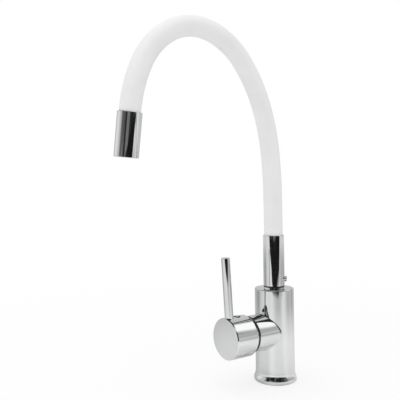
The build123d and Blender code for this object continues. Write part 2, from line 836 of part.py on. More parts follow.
with BuildPart() as hose_connector_lower:
    with BuildSketch(Plane.XZ):
        with BuildLine():
            Polyline(
                *connector_profile(neck_seat_z, web_bottom_z, neck_seat_z + barb_length),
                close=True,
            )
        make_face()
    revolve(axis=Axis.Z)
finish(hose_connector_lower, "hose_connector_lower")


# Centre line of the neck. A place on it is a plane square to the line, with
# local Z along the line. Each arc bends about the local X of its first place.
def neck_step(place, length, turn):
    """Place at the end of an arc of a given length and turn."""
    angle = math.radians(turn)
    radius = length / angle
    origin = place.from_local_coords((0, radius * (math.cos(angle) - 1), radius * math.sin(angle)))
    along = place.z_dir * math.cos(angle) - place.y_dir * math.sin(angle)
    return Plane(origin=origin, x_dir=place.x_dir, z_dir=along)


def rolled(place, roll):
    """The same place, with its local X turned about the line."""
    turned_x = place.x_dir.rotate(Axis(place.origin, place.z_dir), roll)
    return Plane(origin=place.origin, x_dir=turned_x, z_dir=place.z_dir)


def profile_plane(place):
    """Local X is the radius from the centre line, local Y runs along it."""
    return Plane(origin=place.origin, x_dir=place.x_dir, z_dir=-place.y_dir)


def bend_axis(place, turn):
    """Axis of the arc that starts at a place and takes a whole segment's turn."""
    radius = neck_arc_length / math.radians(turn)
    return Axis(place.from_local_coords((0, -radius, 0)), place.x_dir)


neck_starts = []
neck_ends = []
neck_place = Plane.XY.offset(neck_start_z)
for turn, roll in zip(neck_turns, neck_rolls):
    neck_starts.append(rolled(neck_place, roll))
    neck_place = neck_step(neck_starts[-1], neck_arc_length, turn)
    neck_ends.append(neck_place)

# Each segment ends in a ball that sits in the hollow end of the next
segment_count = len(neck_turns)
ball_shoulder = math.sqrt(ball_joint_radius**2 - hose_radius**2)
ball_tip = math.sqrt(ball_joint_radius**2 - core_bore_radius**2)
ball_middle_radius = (hose_radius + core_bore_radius) / 2
ball_middle = math.sqrt(ball_joint_radius**2 - ball_middle_radius**2)
core_setback = math.sqrt(ball_socket_radius**2 - core_bore_radius**2) + travel_gap
tube_setback = math.sqrt(ball_socket_radius**2 - tube_bore_radius**2) + travel_gap
tube_overhang = math.sqrt(ball_joint_radius**2 - tube_radius**2) - travel_gap
sleeve_seat = neck_seat_depth - connector_flange_thickness - travel_gap
nozzle_hose_depth = nozzle_seat_depth - connector_flange_thickness - travel_gap

for number, turn in enumerate(neck_turns, start=1):
    start = neck_starts[number - 1]
    end = neck_ends[number - 1]
    first = number == 1
    last = number == segment_count
    axis = bend_axis(start, turn)

    with BuildPart() as neck_sleeve:
        with BuildSketch(start):
            Circle(hose_radius)
            Circle(sleeve_bore_radius, mode=Mode.SUBTRACT)
        revolve(axis=axis, revolution_arc=turn)
        if first:
            with BuildSketch(start.offset(-sleeve_seat)):
                Circle(hose_radius)
                Circle(sleeve_bore_radius, mode=Mode.SUBTRACT)
            extrude(amount=sleeve_seat)
        else:
            with Locations(start.origin):
                Sphere(ball_socket_radius, mode=Mode.SUBTRACT)
        if last:
            with BuildSketch(end):
                Circle(hose_radius)
                Circle(sleeve_bore_radius, mode=Mode.SUBTRACT)
            extrude(amount=nozzle_hose_depth)
        else:
            with BuildSketch(profile_plane(end)):
                with BuildLine():
                    Polyline(
                        (core_bore_radius, ball_tip),
                        (core_bore_radius, 0),
                        (hose_radius, 0),
                        (hose_radius, ball_shoulder),
                    )
                    ThreePointArc(
                        (hose_radius, ball_shoulder),
                        (ball_middle_radius, ball_middle),
                        (core_bore_radius, ball_tip),
                    )
                make_face()
            revolve(axis=Axis(end.origin, end.z_dir))
    finish(neck_sleeve, f"neck_sleeve_{number}")

    core_start = 0 if first else core_setback
    core_turn = turn * (1 - core_start / neck_arc_length)
    core_place = neck_step(start, core_start, turn - core_turn) if core_start else start

    with BuildPart() as neck_core:
        with BuildSketch(core_place):
            Circle(core_radius)
            Circle(core_bore_radius, mode=Mode.SUBTRACT)
        revolve(axis=axis, revolution_arc=core_turn)
        if first:
            with BuildSketch(start.offset(-sleeve_seat)):
                Circle(core_radius)
                Circle(core_bore_radius, mode=Mode.SUBTRACT)
            extrude(amount=sleeve_seat)
        if last:
            with BuildSketch(end):
                Circle(core_radius)
                Circle(core_bore_radius, mode=Mode.SUBTRACT)
            extrude(amount=nozzle_hose_depth)
    finish(neck_core, f"neck_core_{number}")

    tube_start = 0 if first else tube_setback
    tube_turn = turn * (1 - tube_start / neck_arc_length)
    tube_place = neck_step(start, tube_start, turn - tube_turn) if tube_start else start

    with BuildPart() as neck_tube:
        with BuildSketch(tube_place):
            Circle(tube_radius)
            Circle(tube_bore_radius, mode=Mode.SUBTRACT)
        revolve(axis=axis, revolution_arc=tube_turn)
        if first:
            with BuildSketch(start.offset(-sleeve_seat)):
                Circle(tube_radius)
                Circle(tube_bore_radius, mode=Mode.SUBTRACT)
            extrude(amount=sleeve_seat)
        with BuildSketch(end):
            Circle(tube_radius)
            Circle(tube_bore_radius, mode=Mode.SUBTRACT)
        extrude(amount=nozzle_hose_depth if last else tube_overhang)
    finish(neck_tube, f"neck_tube_{number}")

# Nozzle on the neck's end. Its local height runs towards the mouth.
nozzle_place = neck_ends[-1]
nozzle_profile = profile_plane(nozzle_place)
nozzle_axis = Axis(nozzle_place.origin, nozzle_place.z_dir)
nozzle_web_end = nozzle_seat_depth + nozzle_web_height
chamber_radius = nozzle_radius - nozzle_lower_wall
aerator_end = nozzle_length - aerator_inset
aerator_start = aerator_end - aerator_height
aerator_radius = chamber_radius - running_fit
aerator_bore = aerator_radius - aerator_wall
screen_level = aerator_start + washer_thickness
insert_level = screen_level + screen_thickness

with BuildPart() as nozzle_shell:
    with BuildSketch(nozzle_profile):
        with BuildLine():
            Polyline(
                (hose_radius + neck_fit, 0),
                (nozzle_radius, 0),
                (nozzle_radius, nozzle_length),
                (chamber_radius, nozzle_length),
                (chamber_radius, aerator_start),
                (chamber_radius - aerator_ledge, aerator_start),
                (chamber_radius - aerator_ledge, nozzle_web_end),
                (connector_thread_radius + running_fit, nozzle_web_end),
                (connector_thread_radius + running_fit, nozzle_seat_depth),
                (hose_radius + neck_fit, nozzle_seat_depth),
                close=True,
            )
        make_face()
    revolve(axis=nozzle_axis)
    outer_edges = nozzle_shell.edges().filter_by(GeomType.CIRCLE).sort_by(SortBy.RADIUS)[-2:]
    chamfer(outer_edges, nozzle_edge_bevel)
finish(nozzle_shell, "nozzle_shell")

with BuildPart() as hose_connector_upper:
    with BuildSketch(nozzle_profile):
        with BuildLine():
            Polyline(
                *connector_profile(nozzle_seat_depth, nozzle_web_end, nozzle_seat_depth - barb_length),
                close=True,
            )
        make_face()
    revolve(axis=nozzle_axis)
finish(hose_connector_upper, "hose_connector_upper")

with BuildPart() as aerator_washer:
    with BuildSketch(nozzle_place.offset(aerator_start)):
        Circle(aerator_bore - running_fit)
        Circle(aerator_bore - washer_width, mode=Mode.SUBTRACT)
    extrude(amount=washer_thickness)
finish(aerator_washer, "aerator_washer")

with BuildPart() as aerator_screen:
    with BuildSketch(nozzle_place.offset(screen_level)):
        Circle(aerator_bore - running_fit)
        with PolarLocations(screen_ring_diameter / 2, screen_hole_count):
            RegularPolygon(screen_hole_width / 2, 6, major_radius=False, mode=Mode.SUBTRACT)
    extrude(amount=screen_thickness)
finish(aerator_screen, "aerator_screen")

with BuildPart() as aerator_insert:
    with BuildSketch(nozzle_place.offset(insert_level)):
        Circle(aerator_bore - running_fit)
        for ring_diameter, jet_count in zip(jet_ring_diameters, jet_ring_counts):
            with PolarLocations(ring_diameter / 2, jet_count):
                RegularPolygon(jet_width / 2, 6, major_radius=False, mode=Mode.SUBTRACT)
    extrude(amount=insert_height)
finish(aerator_insert, "aerator_insert")

with BuildPart() as aerator_housing:
    with BuildSketch(nozzle_profile):
        with BuildLine():
            Polyline(
                (aerator_bore, aerator_start),
                (aerator_radius, aerator_start),
                (aerator_radius, aerator_end),
                (aerator_bore - aerator_ledge, aerator_end),
                (aerator_bore - aerator_ledge, aerator_end - aerator_lip_height),
                (aerator_bore, aerator_end - aerator_lip_height),
                close=True,
            )
        make_face()
    revolve(axis=nozzle_axis)
finish(aerator_housing, "aerator_housing")

print("boss reach", round(boss_reach, 2), "drum from", round(drum_rear, 2), "to", round(drum_face, 2))
print("boss radius", round(boss_radius, 2), "drum radius", round(drum_radius, 2))
print("socket", round(socket_bottom_z, 2), "to", round(neck_start_z, 2))
print("nozzle top", [round(value, 2) for value in nozzle_place.origin])
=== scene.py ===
# %% [markdown]
# # A kitchen tap with a bendable neck
#
# This lesson dresses a finished construction model. The frame holds every piece of the tap
# at its real size, and each piece rides on a body that moves. We give the pieces their
# finish, and we model again the ones that a viewer looks at closely: the chromed shells and
# the white silicone cover. Every size below is in metres, and the tap stands on the floor
# with its spout and its handle along -Y.

# %% Load the frame
import bpy
import bmesh
import json
import math
from mathutils import Matrix, Vector


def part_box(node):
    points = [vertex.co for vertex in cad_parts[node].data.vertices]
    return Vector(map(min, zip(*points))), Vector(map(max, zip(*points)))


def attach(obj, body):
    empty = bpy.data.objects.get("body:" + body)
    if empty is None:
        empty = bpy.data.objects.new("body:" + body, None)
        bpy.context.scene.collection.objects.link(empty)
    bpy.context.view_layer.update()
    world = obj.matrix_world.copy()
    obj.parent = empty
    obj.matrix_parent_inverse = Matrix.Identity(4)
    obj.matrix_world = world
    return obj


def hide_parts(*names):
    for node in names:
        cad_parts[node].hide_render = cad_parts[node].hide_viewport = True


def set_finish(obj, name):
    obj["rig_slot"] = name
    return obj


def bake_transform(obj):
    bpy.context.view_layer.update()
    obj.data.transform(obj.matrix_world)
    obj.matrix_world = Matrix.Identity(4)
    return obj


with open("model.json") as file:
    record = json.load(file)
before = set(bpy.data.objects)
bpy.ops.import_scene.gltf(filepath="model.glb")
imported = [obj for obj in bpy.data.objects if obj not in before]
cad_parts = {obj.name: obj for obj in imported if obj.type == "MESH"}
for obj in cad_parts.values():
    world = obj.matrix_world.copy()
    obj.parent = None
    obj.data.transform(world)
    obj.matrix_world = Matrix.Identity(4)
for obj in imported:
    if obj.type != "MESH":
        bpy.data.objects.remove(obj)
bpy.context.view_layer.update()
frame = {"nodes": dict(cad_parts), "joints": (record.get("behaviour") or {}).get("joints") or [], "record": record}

# %% [markdown]
# ## Sizes that everything shares
#
# A size that the frame already knows is read from the frame, so that the looks can't drift
# from the construction. Only small finishing sizes, such as the width of a bevel, are chosen
# here. The joints give the centre line of the neck: each bend of the neck sits on it.

# %% Shared sizes
MM = 0.001
SIDES = 160  # sides of a large round shell
FINE_SIDES = 96  # sides of a rod or a hole
SMALL_SIDES = 64  # sides of a screw or a button
SHARP = math.radians(28)  # edges that turn more than this stay crisp
PLAY = 0.05 * MM  # between a piece and its seat

dome_low, dome_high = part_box("dome_cap")
drum_low, drum_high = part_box("handle_drum")
socket_low, socket_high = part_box("spout_socket")

body_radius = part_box("body_casting")[1].x
handle_height = (dome_low.z + dome_high.z) / 2
boss_radius = dome_high.x
drum_radius = drum_high.x
drum_rear = -drum_high.y
drum_face = -drum_low.y
socket_radius = socket_high.x
print("body", body_radius / MM, "boss", boss_radius / MM, "drum", drum_radius / MM, "mm radius")

# %% [markdown]
# ## The camera
#
# The camera stands level, at the height of the neck's lower half, a little over 60 cm away
# and to the right of the handle. A short telephoto keeps the verticals almost straight. The
# slight roll is the one of a camera that wasn't quite level.

# %% Camera
camera_place = Vector((0.4492, -0.4237, 0.2124))
look_direction = Vector((-0.8167, 0.5770, 0))
camera_roll = Matrix.Rotation(math.radians(-0.79), 4, "Z")


def aimed(place, direction, front="Z", up="Y"):
    """The matrix of something at a place whose front points in a direction."""
    return Matrix.Translation(place) @ direction.to_track_quat(front, up).to_matrix().to_4x4()


camera_data = bpy.data.cameras.new("camera")
camera_data.lens = 46.2
camera_data.shift_y = 0.0033
camera = bpy.data.objects.new("camera", camera_data)
bpy.context.scene.collection.objects.link(camera)
camera.matrix_world = aimed(camera_place, look_direction, "-Z") @ camera_roll
bpy.context.scene.camera = camera
bpy.context.scene.view_settings.view_transform = "Standard"
print("camera at", [round(value, 3) for value in camera_place])

# %% [markdown]
# ## Helpers for shader nodes
#
# A shader is a small machine of nodes and links. Three helpers keep the recipes below short:
# they add a node and feed it with plain values or with the outputs of other nodes.

# %% Add and feed nodes


def node_at(tree, kind, **settings):
    """Add a shader node and set its properties."""
    node = tree.nodes.new(kind)
    for setting, value in settings.items():
        setattr(node, setting, value)
    return node


def connect(tree, socket, value):
    """Link another node's output to a socket, or give the socket a plain value."""
    if isinstance(value, bpy.types.NodeSocket):
        tree.links.new(value, socket)
    elif value is not None:
        socket.default_value = value


def feed(tree, node, **values):
    """Feed inputs by name, with _ for a space, and return the node's outputs."""
    for label, value in values.items():
        connect(tree, node.inputs[label.replace("_", " ")], value)
    return node.outputs


# %% [markdown]
# Each of the next helpers adds one kind of node, feeds it and hands back its output.

# %% Sums, ranges, mixes and ramps


def math_node(tree, operation, *values, clamp=False):
    """Reckon with one to three values."""
    node = node_at(tree, "ShaderNodeMath", operation=operation, use_clamp=clamp)
    for socket, value in zip(node.inputs, values):
        connect(tree, socket, value)
    return node.outputs["Value"]


def vector_node(tree, operation, first, second=None, scale=None):
    """Reckon with vectors; a length or a dot product comes out as one value."""
    node = node_at(tree, "ShaderNodeVectorMath", operation=operation)
    for index, value in ((0, first), (1, second), (3, scale)):
        connect(tree, node.inputs[index], value)
    return node.outputs["Value" if operation in ("LENGTH", "DOT_PRODUCT") else "Vector"]


def part_node(tree, vector, axis):
    """The X, Y or Z of a vector."""
    return feed(tree, node_at(tree, "ShaderNodeSeparateXYZ"), Vector=vector)[axis]


def range_node(tree, value, span, result=(0.0, 1.0), smooth=False):
    """Turn a value that runs over a span into one that runs over the result."""
    easing = "SMOOTHSTEP" if smooth else "LINEAR"
    node = node_at(tree, "ShaderNodeMapRange", interpolation_type=easing)
    for socket, part in zip(node.inputs, (value, *span, *result)):
        connect(tree, socket, part)
    return node.outputs["Result"]


def mix_node(tree, share, low, high):
    """Mix two colours by a share."""
    node = node_at(tree, "ShaderNodeMix", data_type="RGBA")
    for index, value in ((0, share), (6, low), (7, high)):
        connect(tree, node.inputs[index], value)
    return node.outputs[2]


def grey(brightness):
    """A colour without a hue."""
    return (brightness, brightness, brightness, 1)


def ramp_node(tree, value, stops):
    """Turn a value from 0 to 1 into grey, by (place, brightness) stops."""
    node = node_at(tree, "ShaderNodeValToRGB")
    elements = node.color_ramp.elements
    while len(elements) < len(stops):
        elements.new(0.5)
    for element, (place, brightness) in zip(elements, stops):
        element.position = place
        element.color = grey(brightness)
    return feed(tree, node, Fac=value)["Color"]


# %% [markdown]
# ## A studio that chrome can mirror
#
# Chrome has no colour of its own: it shows the room. A photographer's tap shows a white
# table, pale walls, a bright ceiling, and the dark room behind the camera as a black band
# down the middle. The camera itself sees plain white behind the object. So the world answers
# each kind of ray in its own way: white for the camera, an even pale light for matte
# surfaces, and the studio for mirrors.
#
# What a mirror finds depends most on the angle round the tap. It is counted from the camera,
# and it grows towards the right of the picture.

# %% Angle round the tap
toward_camera = -look_direction
to_the_right = Vector((look_direction.y, -look_direction.x, 0))


def angle_share(tree, vector):
    """The angle of a direction round the tap, as a place on a ramp from -180 to 180 degrees."""
    ahead = vector_node(tree, "DOT_PRODUCT", vector, toward_camera)
    across = vector_node(tree, "DOT_PRODUCT", vector, to_the_right)
    angle = math_node(tree, "ARCTAN2", across, ahead)
    return math_node(tree, "MULTIPLY_ADD", angle, 1 / math.tau, 0.5)


def round_ramp(tree, round_share, stops, whole=100):
    """A ramp over the angle round the tap, from stops of degrees and parts of a whole."""
    places = [(0.5 + angle / 360, value / whole) for angle, value in stops]
    return ramp_node(tree, round_share, places)


# %% [markdown]
# The walls are ramps over that angle, and each stop holds an angle in degrees and a
# brightness in percent. From left to right a ramp goes past a pale wall, the dark room with
# faint streaks of far windows, and a second pale wall. The room isn't the same at every
# height, so there are five ramps: below eye level, at eye level, in the middle, high up and
# overhead.

# %% The walls round the tap
low_walls = [
    (-180, 62), (-147, 46), (-102, 52), (-90, 70), (-60, 68), (-50, 20), (-39, 28), (-30, 15),
    (-22, 1.5), (-16, 2), (-10, 12), (-4, 27), (1, 12), (6, 25), (12, 8), (16, 3), (26, 3.5),
    (30, 1.2), (43, 2.5), (49, 13), (55, 6), (61, 15), (67, 28), (74, 60), (84, 86), (95, 88),
    (108, 78), (120, 64), (138, 56), (150, 50), (166, 62), (180, 62),
]
level_walls = [
    (-180, 62), (-150, 50), (-124, 72), (-116, 90), (-94, 86), (-84, 70), (-72, 60), (-64, 40),
    (-57, 19), (-47, 9), (-42, 15), (-37, 8), (-30, 11), (-22, 2), (-15, 2), (-10, 12), (-4, 27),
    (1, 12), (6, 25), (12, 8), (16, 2), (52, 5), (58, 80), (66, 98), (72, 64), (90, 66),
    (120, 62), (180, 62),
]
middle_walls = [
    (-180, 62), (-150, 50), (-110, 62), (-67, 62), (-57, 3), (-42, 1.5), (-39, 14), (-36, 2),
    (-15, 1.2), (-10, 16), (-5, 3), (26, 1), (31, 10), (36, 1.2), (41, 8), (48, 16), (58, 18),
    (64, 26), (70, 45), (76, 50), (90, 46), (108, 42), (120, 24), (128, 62), (180, 62),
]
high_walls = [
    (-180, 70), (-125, 62), (-118, 3), (-45, 3), (-36, 80), (0, 80), (6, 3), (70, 3), (77, 25),
    (86, 120), (114, 120), (124, 70), (129, 3), (140, 3), (146, 60), (180, 70),
]
overhead_walls = [(-180, 60), (-125, 60), (-110, 4), (15, 4), (35, 60), (180, 60)]

world = bpy.data.worlds.new("studio")
bpy.context.scene.world = world
world.use_nodes = True
tree = world.node_tree
tree.nodes.clear()
direction = node_at(tree, "ShaderNodeTexCoord").outputs["Generated"]
round_share = angle_share(tree, direction)
walls = round_ramp(tree, round_share, low_walls)
print("stops of the lowest wall:", len(low_walls))

# %% [markdown]
# The ramps are stacked by the height of a direction, in degrees. The dark room has a curved
# upper edge under a bright ceiling: a ramp again, over how far a direction is turned from the
# camera. The eye-level strip reaches higher on the left, so its edge is a ramp round the tap.

# %% Stack the walls by height
LEVEL_EDGE = -1.5
MIDDLE_EDGE = [(-180, 13), (-80, 13), (-68, 6), (180, 6)]  # degrees round the tap, height
HIGH_EDGE = [(0, 33), (30, 29), (55, 21), (90, 24)]  # degrees turned away, height
OVERHEAD_EDGE = 60
rise = math_node(tree, "ARCSINE", part_node(tree, direction, "Z"))
elevation = math_node(tree, "MULTIPLY", rise, 2 / math.pi)
off_middle = math_node(tree, "ABSOLUTE", math_node(tree, "SUBTRACT", round_share, 0.5))
turned_away = math_node(tree, "MULTIPLY", off_middle, 2)
middle_edge = round_ramp(tree, round_share, MIDDLE_EDGE, whole=90)
high_edge = ramp_node(tree, turned_away, [(angle / 180, up / 90) for angle, up in HIGH_EDGE])
stack = [
    (level_walls, LEVEL_EDGE / 90, 3),
    (middle_walls, middle_edge, 2),
    (high_walls, high_edge, 5),
    (overhead_walls, OVERHEAD_EDGE / 90, 8),
]  # the walls, the height they start at, and how many degrees they take to fade in
for stops, edge, fade in stack:
    above = math_node(tree, "SUBTRACT", elevation, edge)
    share = math_node(tree, "MULTIPLY_ADD", above, 90 / fade, 0.5, clamp=True)
    walls = mix_node(tree, share, walls, round_ramp(tree, round_share, stops))
print("walls stacked on it:", [len(stops) for stops, edge, fade in stack])

# %% [markdown]
# Each kind of ray gets its own answer. The lesson's picture has a plain white background, so
# a ray from the camera that meets nothing finds white.

# %% Answers of the world
MATTE_LEVEL = 0.92
ray = node_at(tree, "ShaderNodeLightPath").outputs
mirror_or_matte = mix_node(tree, ray["Is Glossy Ray"], grey(MATTE_LEVEL), walls)
room = mix_node(tree, ray["Is Camera Ray"], mirror_or_matte, grey(1.0))
shown = feed(tree, node_at(tree, "ShaderNodeBackground"), Color=room)["Background"]
feed(tree, node_at(tree, "ShaderNodeOutputWorld"), Surface=shown)
print("light on matte surfaces:", MATTE_LEVEL)

# %% [markdown]
# ## The table
#
# The table is a white sheet. A plane is added at the origin, scaled, turned to face the
# camera and moved back, because the table is longer behind the tap than in front of it.

# %% Table sheet
table_front = 2.2
table_far = 3.0
bpy.ops.object.select_all(action="DESELECT")
bpy.ops.mesh.primitive_plane_add(size=2)
table = bpy.context.object
table.name = "table"
table.scale = (table_far, (table_far + table_front) / 2, 1)
table.rotation_euler.z = math.atan2(toward_camera.x, -toward_camera.y)
table.location = toward_camera * ((table_front - table_far) / 2)
bpy.ops.object.transform_apply(location=True, rotation=True, scale=True)
print("table reaches", table_front, "m to the front and", table_far, "m to the back")

# %% [markdown]
# Mirrors see the paper with its light and shade painted into its colour: paler close to the
# tap, further out with broad streaks of light and shade, and painted dark where the room
# begins. That edge is close by in front of the tap and far away to both sides, and it is
# sharp in front and blurred beside that. So four ramps round the tap describe the paper: two
# for its brightness, one for how far the light reaches and one for how wide its edge is. At
# last the far paper fades to white.

# %% Paper that mirrors see, with painted light and shade
NEAR_PAPER = [
    (-180, 70), (-137, 56), (-112, 67), (-92, 77), (-45, 78), (-30, 92), (-20, 94), (0, 83),
    (30, 83), (45, 92), (75, 86), (110, 86), (122, 78), (150, 76), (180, 70),
]
FAR_PAPER = [
    (-180, 60), (-137, 50), (-112, 34), (-92, 64), (-70, 74), (-45, 80), (-36, 74), (-24, 83),
    (-12, 74), (0, 56), (14, 50), (26, 54), (36, 78), (50, 80), (62, 62), (77, 44), (93, 56),
    (112, 42), (137, 60), (180, 60),
]
LIGHT_REACH = [
    (-180, 3), (-56, 3), (-50, 1.6), (-36, 1.1), (-29, 0.76), (-23, 0.7), (-12, 0.64), (-5, 0.63),
    (5, 0.62), (13, 0.605), (19, 0.62), (26, 0.78), (33, 0.85), (41, 0.97), (50, 1), (54, 1.3),
    (58, 1.7), (62, 3), (180, 3),
]  # degrees round the tap, metres
EDGE_WIDTH = [
    (-180, 0.17), (-60, 0.17), (-34, 0.07), (22, 0.07), (34, 0.38), (60, 0.38), (75, 0.17),
    (180, 0.17),
]  # degrees round the tap, metres
NEAR_TO_FAR = (0.16, 0.50)  # metres from the tap
FAR_TO_WHITE = (1.1, 2.0)  # metres from the tap
WHITE_SHARE = 0.7
WHITE_PAPER = 0.95
# painted shade: in mirrors the paper turns this dark where the room begins
PAINTED_SHADE_PAPER = 0.012

paper = bpy.data.materials.new("table_paper")
paper.use_nodes = True
tree = paper.node_tree
tree.nodes.clear()
place = node_at(tree, "ShaderNodeTexCoord").outputs["Object"]
round_share = angle_share(tree, place)
distance = vector_node(tree, "LENGTH", place)
outward = range_node(tree, distance, NEAR_TO_FAR, smooth=True)
near_paper = round_ramp(tree, round_share, NEAR_PAPER)
mirrored = mix_node(tree, outward, near_paper, round_ramp(tree, round_share, FAR_PAPER))
farthest = range_node(tree, distance, FAR_TO_WHITE, (0.0, WHITE_SHARE))
mirrored = mix_node(tree, farthest, mirrored, grey(WHITE_PAPER))
reach = round_ramp(tree, round_share, LIGHT_REACH, whole=table_far)
distance_share = math_node(tree, "DIVIDE", distance, table_far)
inside_edge = math_node(tree, "SUBTRACT", reach, distance_share)
width = round_ramp(tree, round_share, EDGE_WIDTH, whole=table_far)
lit = math_node(tree, "DIVIDE", inside_edge, width, clamp=True)
mirrored = mix_node(tree, lit, grey(PAINTED_SHADE_PAPER), mirrored)
print("stops of the paper:", [len(NEAR_PAPER), len(FAR_PAPER), len(LIGHT_REACH), len(EDGE_WIDTH)])

# %% [markdown]
# The camera sees the paper almost as bright as the background, and the paper still takes the
# soft shadow near the tap. A plain glow, mixed in more and more with the distance, lets the
# sheet end without an edge.

# %% Paper that the camera sees
LIT_PAPER = 0.90
SHADOW_SHARE = 0.25
SHADOW_TO_GLOW = (0.25, 0.90)  # metres from the tap
ray = node_at(tree, "ShaderNodeLightPath").outputs
seen_paper = mix_node(tree, ray["Is Glossy Ray"], grey(LIT_PAPER), mirrored)
matte = feed(tree, node_at(tree, "ShaderNodeBsdfDiffuse"), Color=seen_paper)["BSDF"]
glow = node_at(tree, "ShaderNodeEmission").outputs["Emission"]
glow_share = range_node(tree, distance, SHADOW_TO_GLOW, (1 - SHADOW_SHARE, 1.0))
glow_share = math_node(tree, "MULTIPLY", ray["Is Camera Ray"], glow_share)
seen = node_at(tree, "ShaderNodeMixShader")
for socket, value in zip(seen.inputs, (glow_share, matte, glow)):
    connect(tree, socket, value)
feed(tree, node_at(tree, "ShaderNodeOutputMaterial"), Surface=seen.outputs["Shader"])
table.data.materials.append(paper)
print("shadow fades out between", SHADOW_TO_GLOW, "m")

# %% [markdown]
# ## The lamps
#
# Two large soft lamps give the matte neck its shape: a strong one above and a weak one from
# the left. Mirrors don't show them, because the walls already hold all that chrome needs.

# %% Lamps
aim_point = Vector((0, -0.08, 0.2))
lamps = [("lamp_above", (0.1, -0.3, 1.3), 0.9, 3), ("lamp_left", (-0.4, -1.1, 0.6), 0.8, 0.5)]
for name, place, size, power in lamps:
    data = bpy.data.lights.new(name, "AREA")
    data.size = size
    data.energy = power
    lamp = bpy.data.objects.new(name, data)
    bpy.context.scene.collection.objects.link(lamp)
    lamp.matrix_world = aimed(place, aim_point - Vector(place), "-Z")
    lamp.visible_glossy = False
    lamp.visible_camera = False
print("lamps:", [name for name, place, size, power in lamps])

# %% [markdown]
# ## Helpers for modelling by hand
#
# An operator works on whatever is selected, and the loaded pieces come in selected. So a
# small helper first lets go of everything and picks one piece. Two more apply a modifier and
# round the sharp edges: real polished edges are never razor sharp, and the thin highlight on
# a rounded edge is what makes metal look like metal. Weighted normals then keep the large
# faces true, for a mirror would show the slightest lean of a normal near the rounded edge.

# %% Pick, apply, soften and settle


def pick(piece):
    """Select this piece alone and make it the active one."""
    bpy.ops.object.select_all(action="DESELECT")
    piece.select_set(True)
    bpy.context.view_layer.objects.active = piece


def apply_modifier(piece, kind, **settings):
    """Add a modifier with these settings and apply it."""
    pick(piece)
    modifier = piece.modifiers.new(kind.lower(), kind)
    for setting, value in settings.items():
        setattr(modifier, setting, value)
    bpy.ops.object.modifier_apply(modifier=modifier.name)


def soften(piece, width, segments=3):
    """Round the sharp edges, as polishing does, shade the rest smooth and describe it."""
    apply_modifier(
        piece, "BEVEL", width=width, segments=segments, limit_method="ANGLE", angle_limit=SHARP
    )
    pick(piece)
    bpy.ops.object.shade_smooth_by_angle(angle=SHARP)
    apply_modifier(piece, "WEIGHTED_NORMAL", weight=100, keep_sharp=True)
    describe(piece)


def settle(piece, matrix=None):
    """Put the piece in place and write the place into its mesh."""
    if matrix is not None:
        piece.matrix_world = matrix
    pick(piece)
    bpy.ops.object.transform_apply(location=True, rotation=True, scale=True)
    return piece


def describe(piece):
    """Print the size of the mesh and whether it is closed."""
    mesh = bmesh.new()
    mesh.from_mesh(piece.data)
    open_edges = sum(1 for edge in mesh.edges if not edge.is_manifold)
    print(piece.name, "faces:", len(mesh.faces), "open edges:", open_edges)
    mesh.free()


# %% [markdown]
# Almost every part of a tap comes off a lathe. We turn ours the same way: start with a
# circle, then extrude it and scale it from one point of the outline to the next. A filled
# circle gives a solid end, and an open one gives a ring whose outline closes on itself.

# %% Turn a piece on the lathe
MERGE_DISTANCE = MM / 1000
QUARTER_BULGE = 0.29  # of a quarter round over its chord, as a share of its radius


def extrude(step):
    """Extrude what is selected by this step."""
    bpy.ops.mesh.extrude_region_move(TRANSFORM_OT_translate={"value": step})


def close_up():
    """Merge doubled points, turn every face outward and leave edit mode."""
    bpy.ops.mesh.select_all(action="SELECT")
    bpy.ops.mesh.remove_doubles(threshold=MERGE_DISTANCE)
    bpy.ops.mesh.normals_make_consistent(inside=False)
    bpy.ops.object.mode_set(mode="OBJECT")


def turned(name, outline, sides=SIDES, hollow=False):
    """A round piece along Z, from points of radius and height."""
    bpy.ops.object.select_all(action="DESELECT")
    radius, height = outline[0]
    bpy.ops.mesh.primitive_circle_add(
        vertices=sides,
        radius=radius,
        fill_type="NOTHING" if hollow else "NGON",
        location=(0, 0, height),
    )
    piece = bpy.context.object
    piece.name = piece.data.name = name
    bpy.ops.object.mode_set(mode="EDIT")
    route = outline[1:] + outline[:1] if hollow else outline[1:]
    for next_radius, next_height in route:
        extrude((0, 0, next_height - height))
        grow = next_radius / radius
        bpy.ops.transform.resize(value=(grow, grow, 1), center_override=(0, 0, next_height))
        radius, height = next_radius, next_height
    close_up()
    return settle(piece)


def arc_points(start, end, bulge, steps):
    """Points after start, up to end, of an arc that bulges to the right of its chord."""
    start, end = Vector(start), Vector(end)
    chord = end - start
    side = Vector((chord.y, -chord.x)).normalized()
    half = chord.length / 2
    radius = (half * half + bulge * bulge) / (2 * bulge)
    centre = (start + end) / 2 + side * (bulge - radius)
    points = []
    for step in range(1, steps + 1):
        on_chord = start + chord * step / steps - centre
        points.append(tuple(centre + on_chord.normalized() * abs(radius)))
    return points


def rounded_top(radius, height, width, steps):
    """Points of the top edge of a rod, rounded over this width."""
    edge = (radius, height - width)
    return [edge, *arc_points(edge, (radius - width, height), width * QUARTER_BULGE, steps)]


# %% [markdown]
# Drilled holes and slots are boolean cuts. The exact solver keeps the mesh closed, and the
# cutter is thrown away afterwards. The handle's parts are turned along Z as well and then
# laid on their side, with their outer end towards -Y.

# %% Drill, cut and lay down


def combine(piece, other, operation):
    """Unite the piece with another, or cut the other out of it."""
    apply_modifier(piece, "BOOLEAN", object=other, operation=operation, solver="EXACT")
    bpy.data.objects.remove(other)


def bore(piece, radius, start, end):
    """Cut a round hole from one point to another."""
    along = end - start
    cutter = turned("cutter", [(radius, 0), (radius, along.length)], sides=FINE_SIDES)
    combine(piece, settle(cutter, aimed(start, along)), "DIFFERENCE")


lying_down = Matrix.Rotation(math.radians(90), 4, "X")
on_handle_axis = Matrix.Translation((0, 0, handle_height)) @ lying_down

# %% [markdown]
# ## The foot ring
#
# The ring under the body hides the hole in the sink. Its wall leaves the body without a
# visible joint, sweeps outward in a shallow cove and ends in a short upright lip. In chrome
# the cove works like a curved mirror, and it shows the dark room as a small black patch.

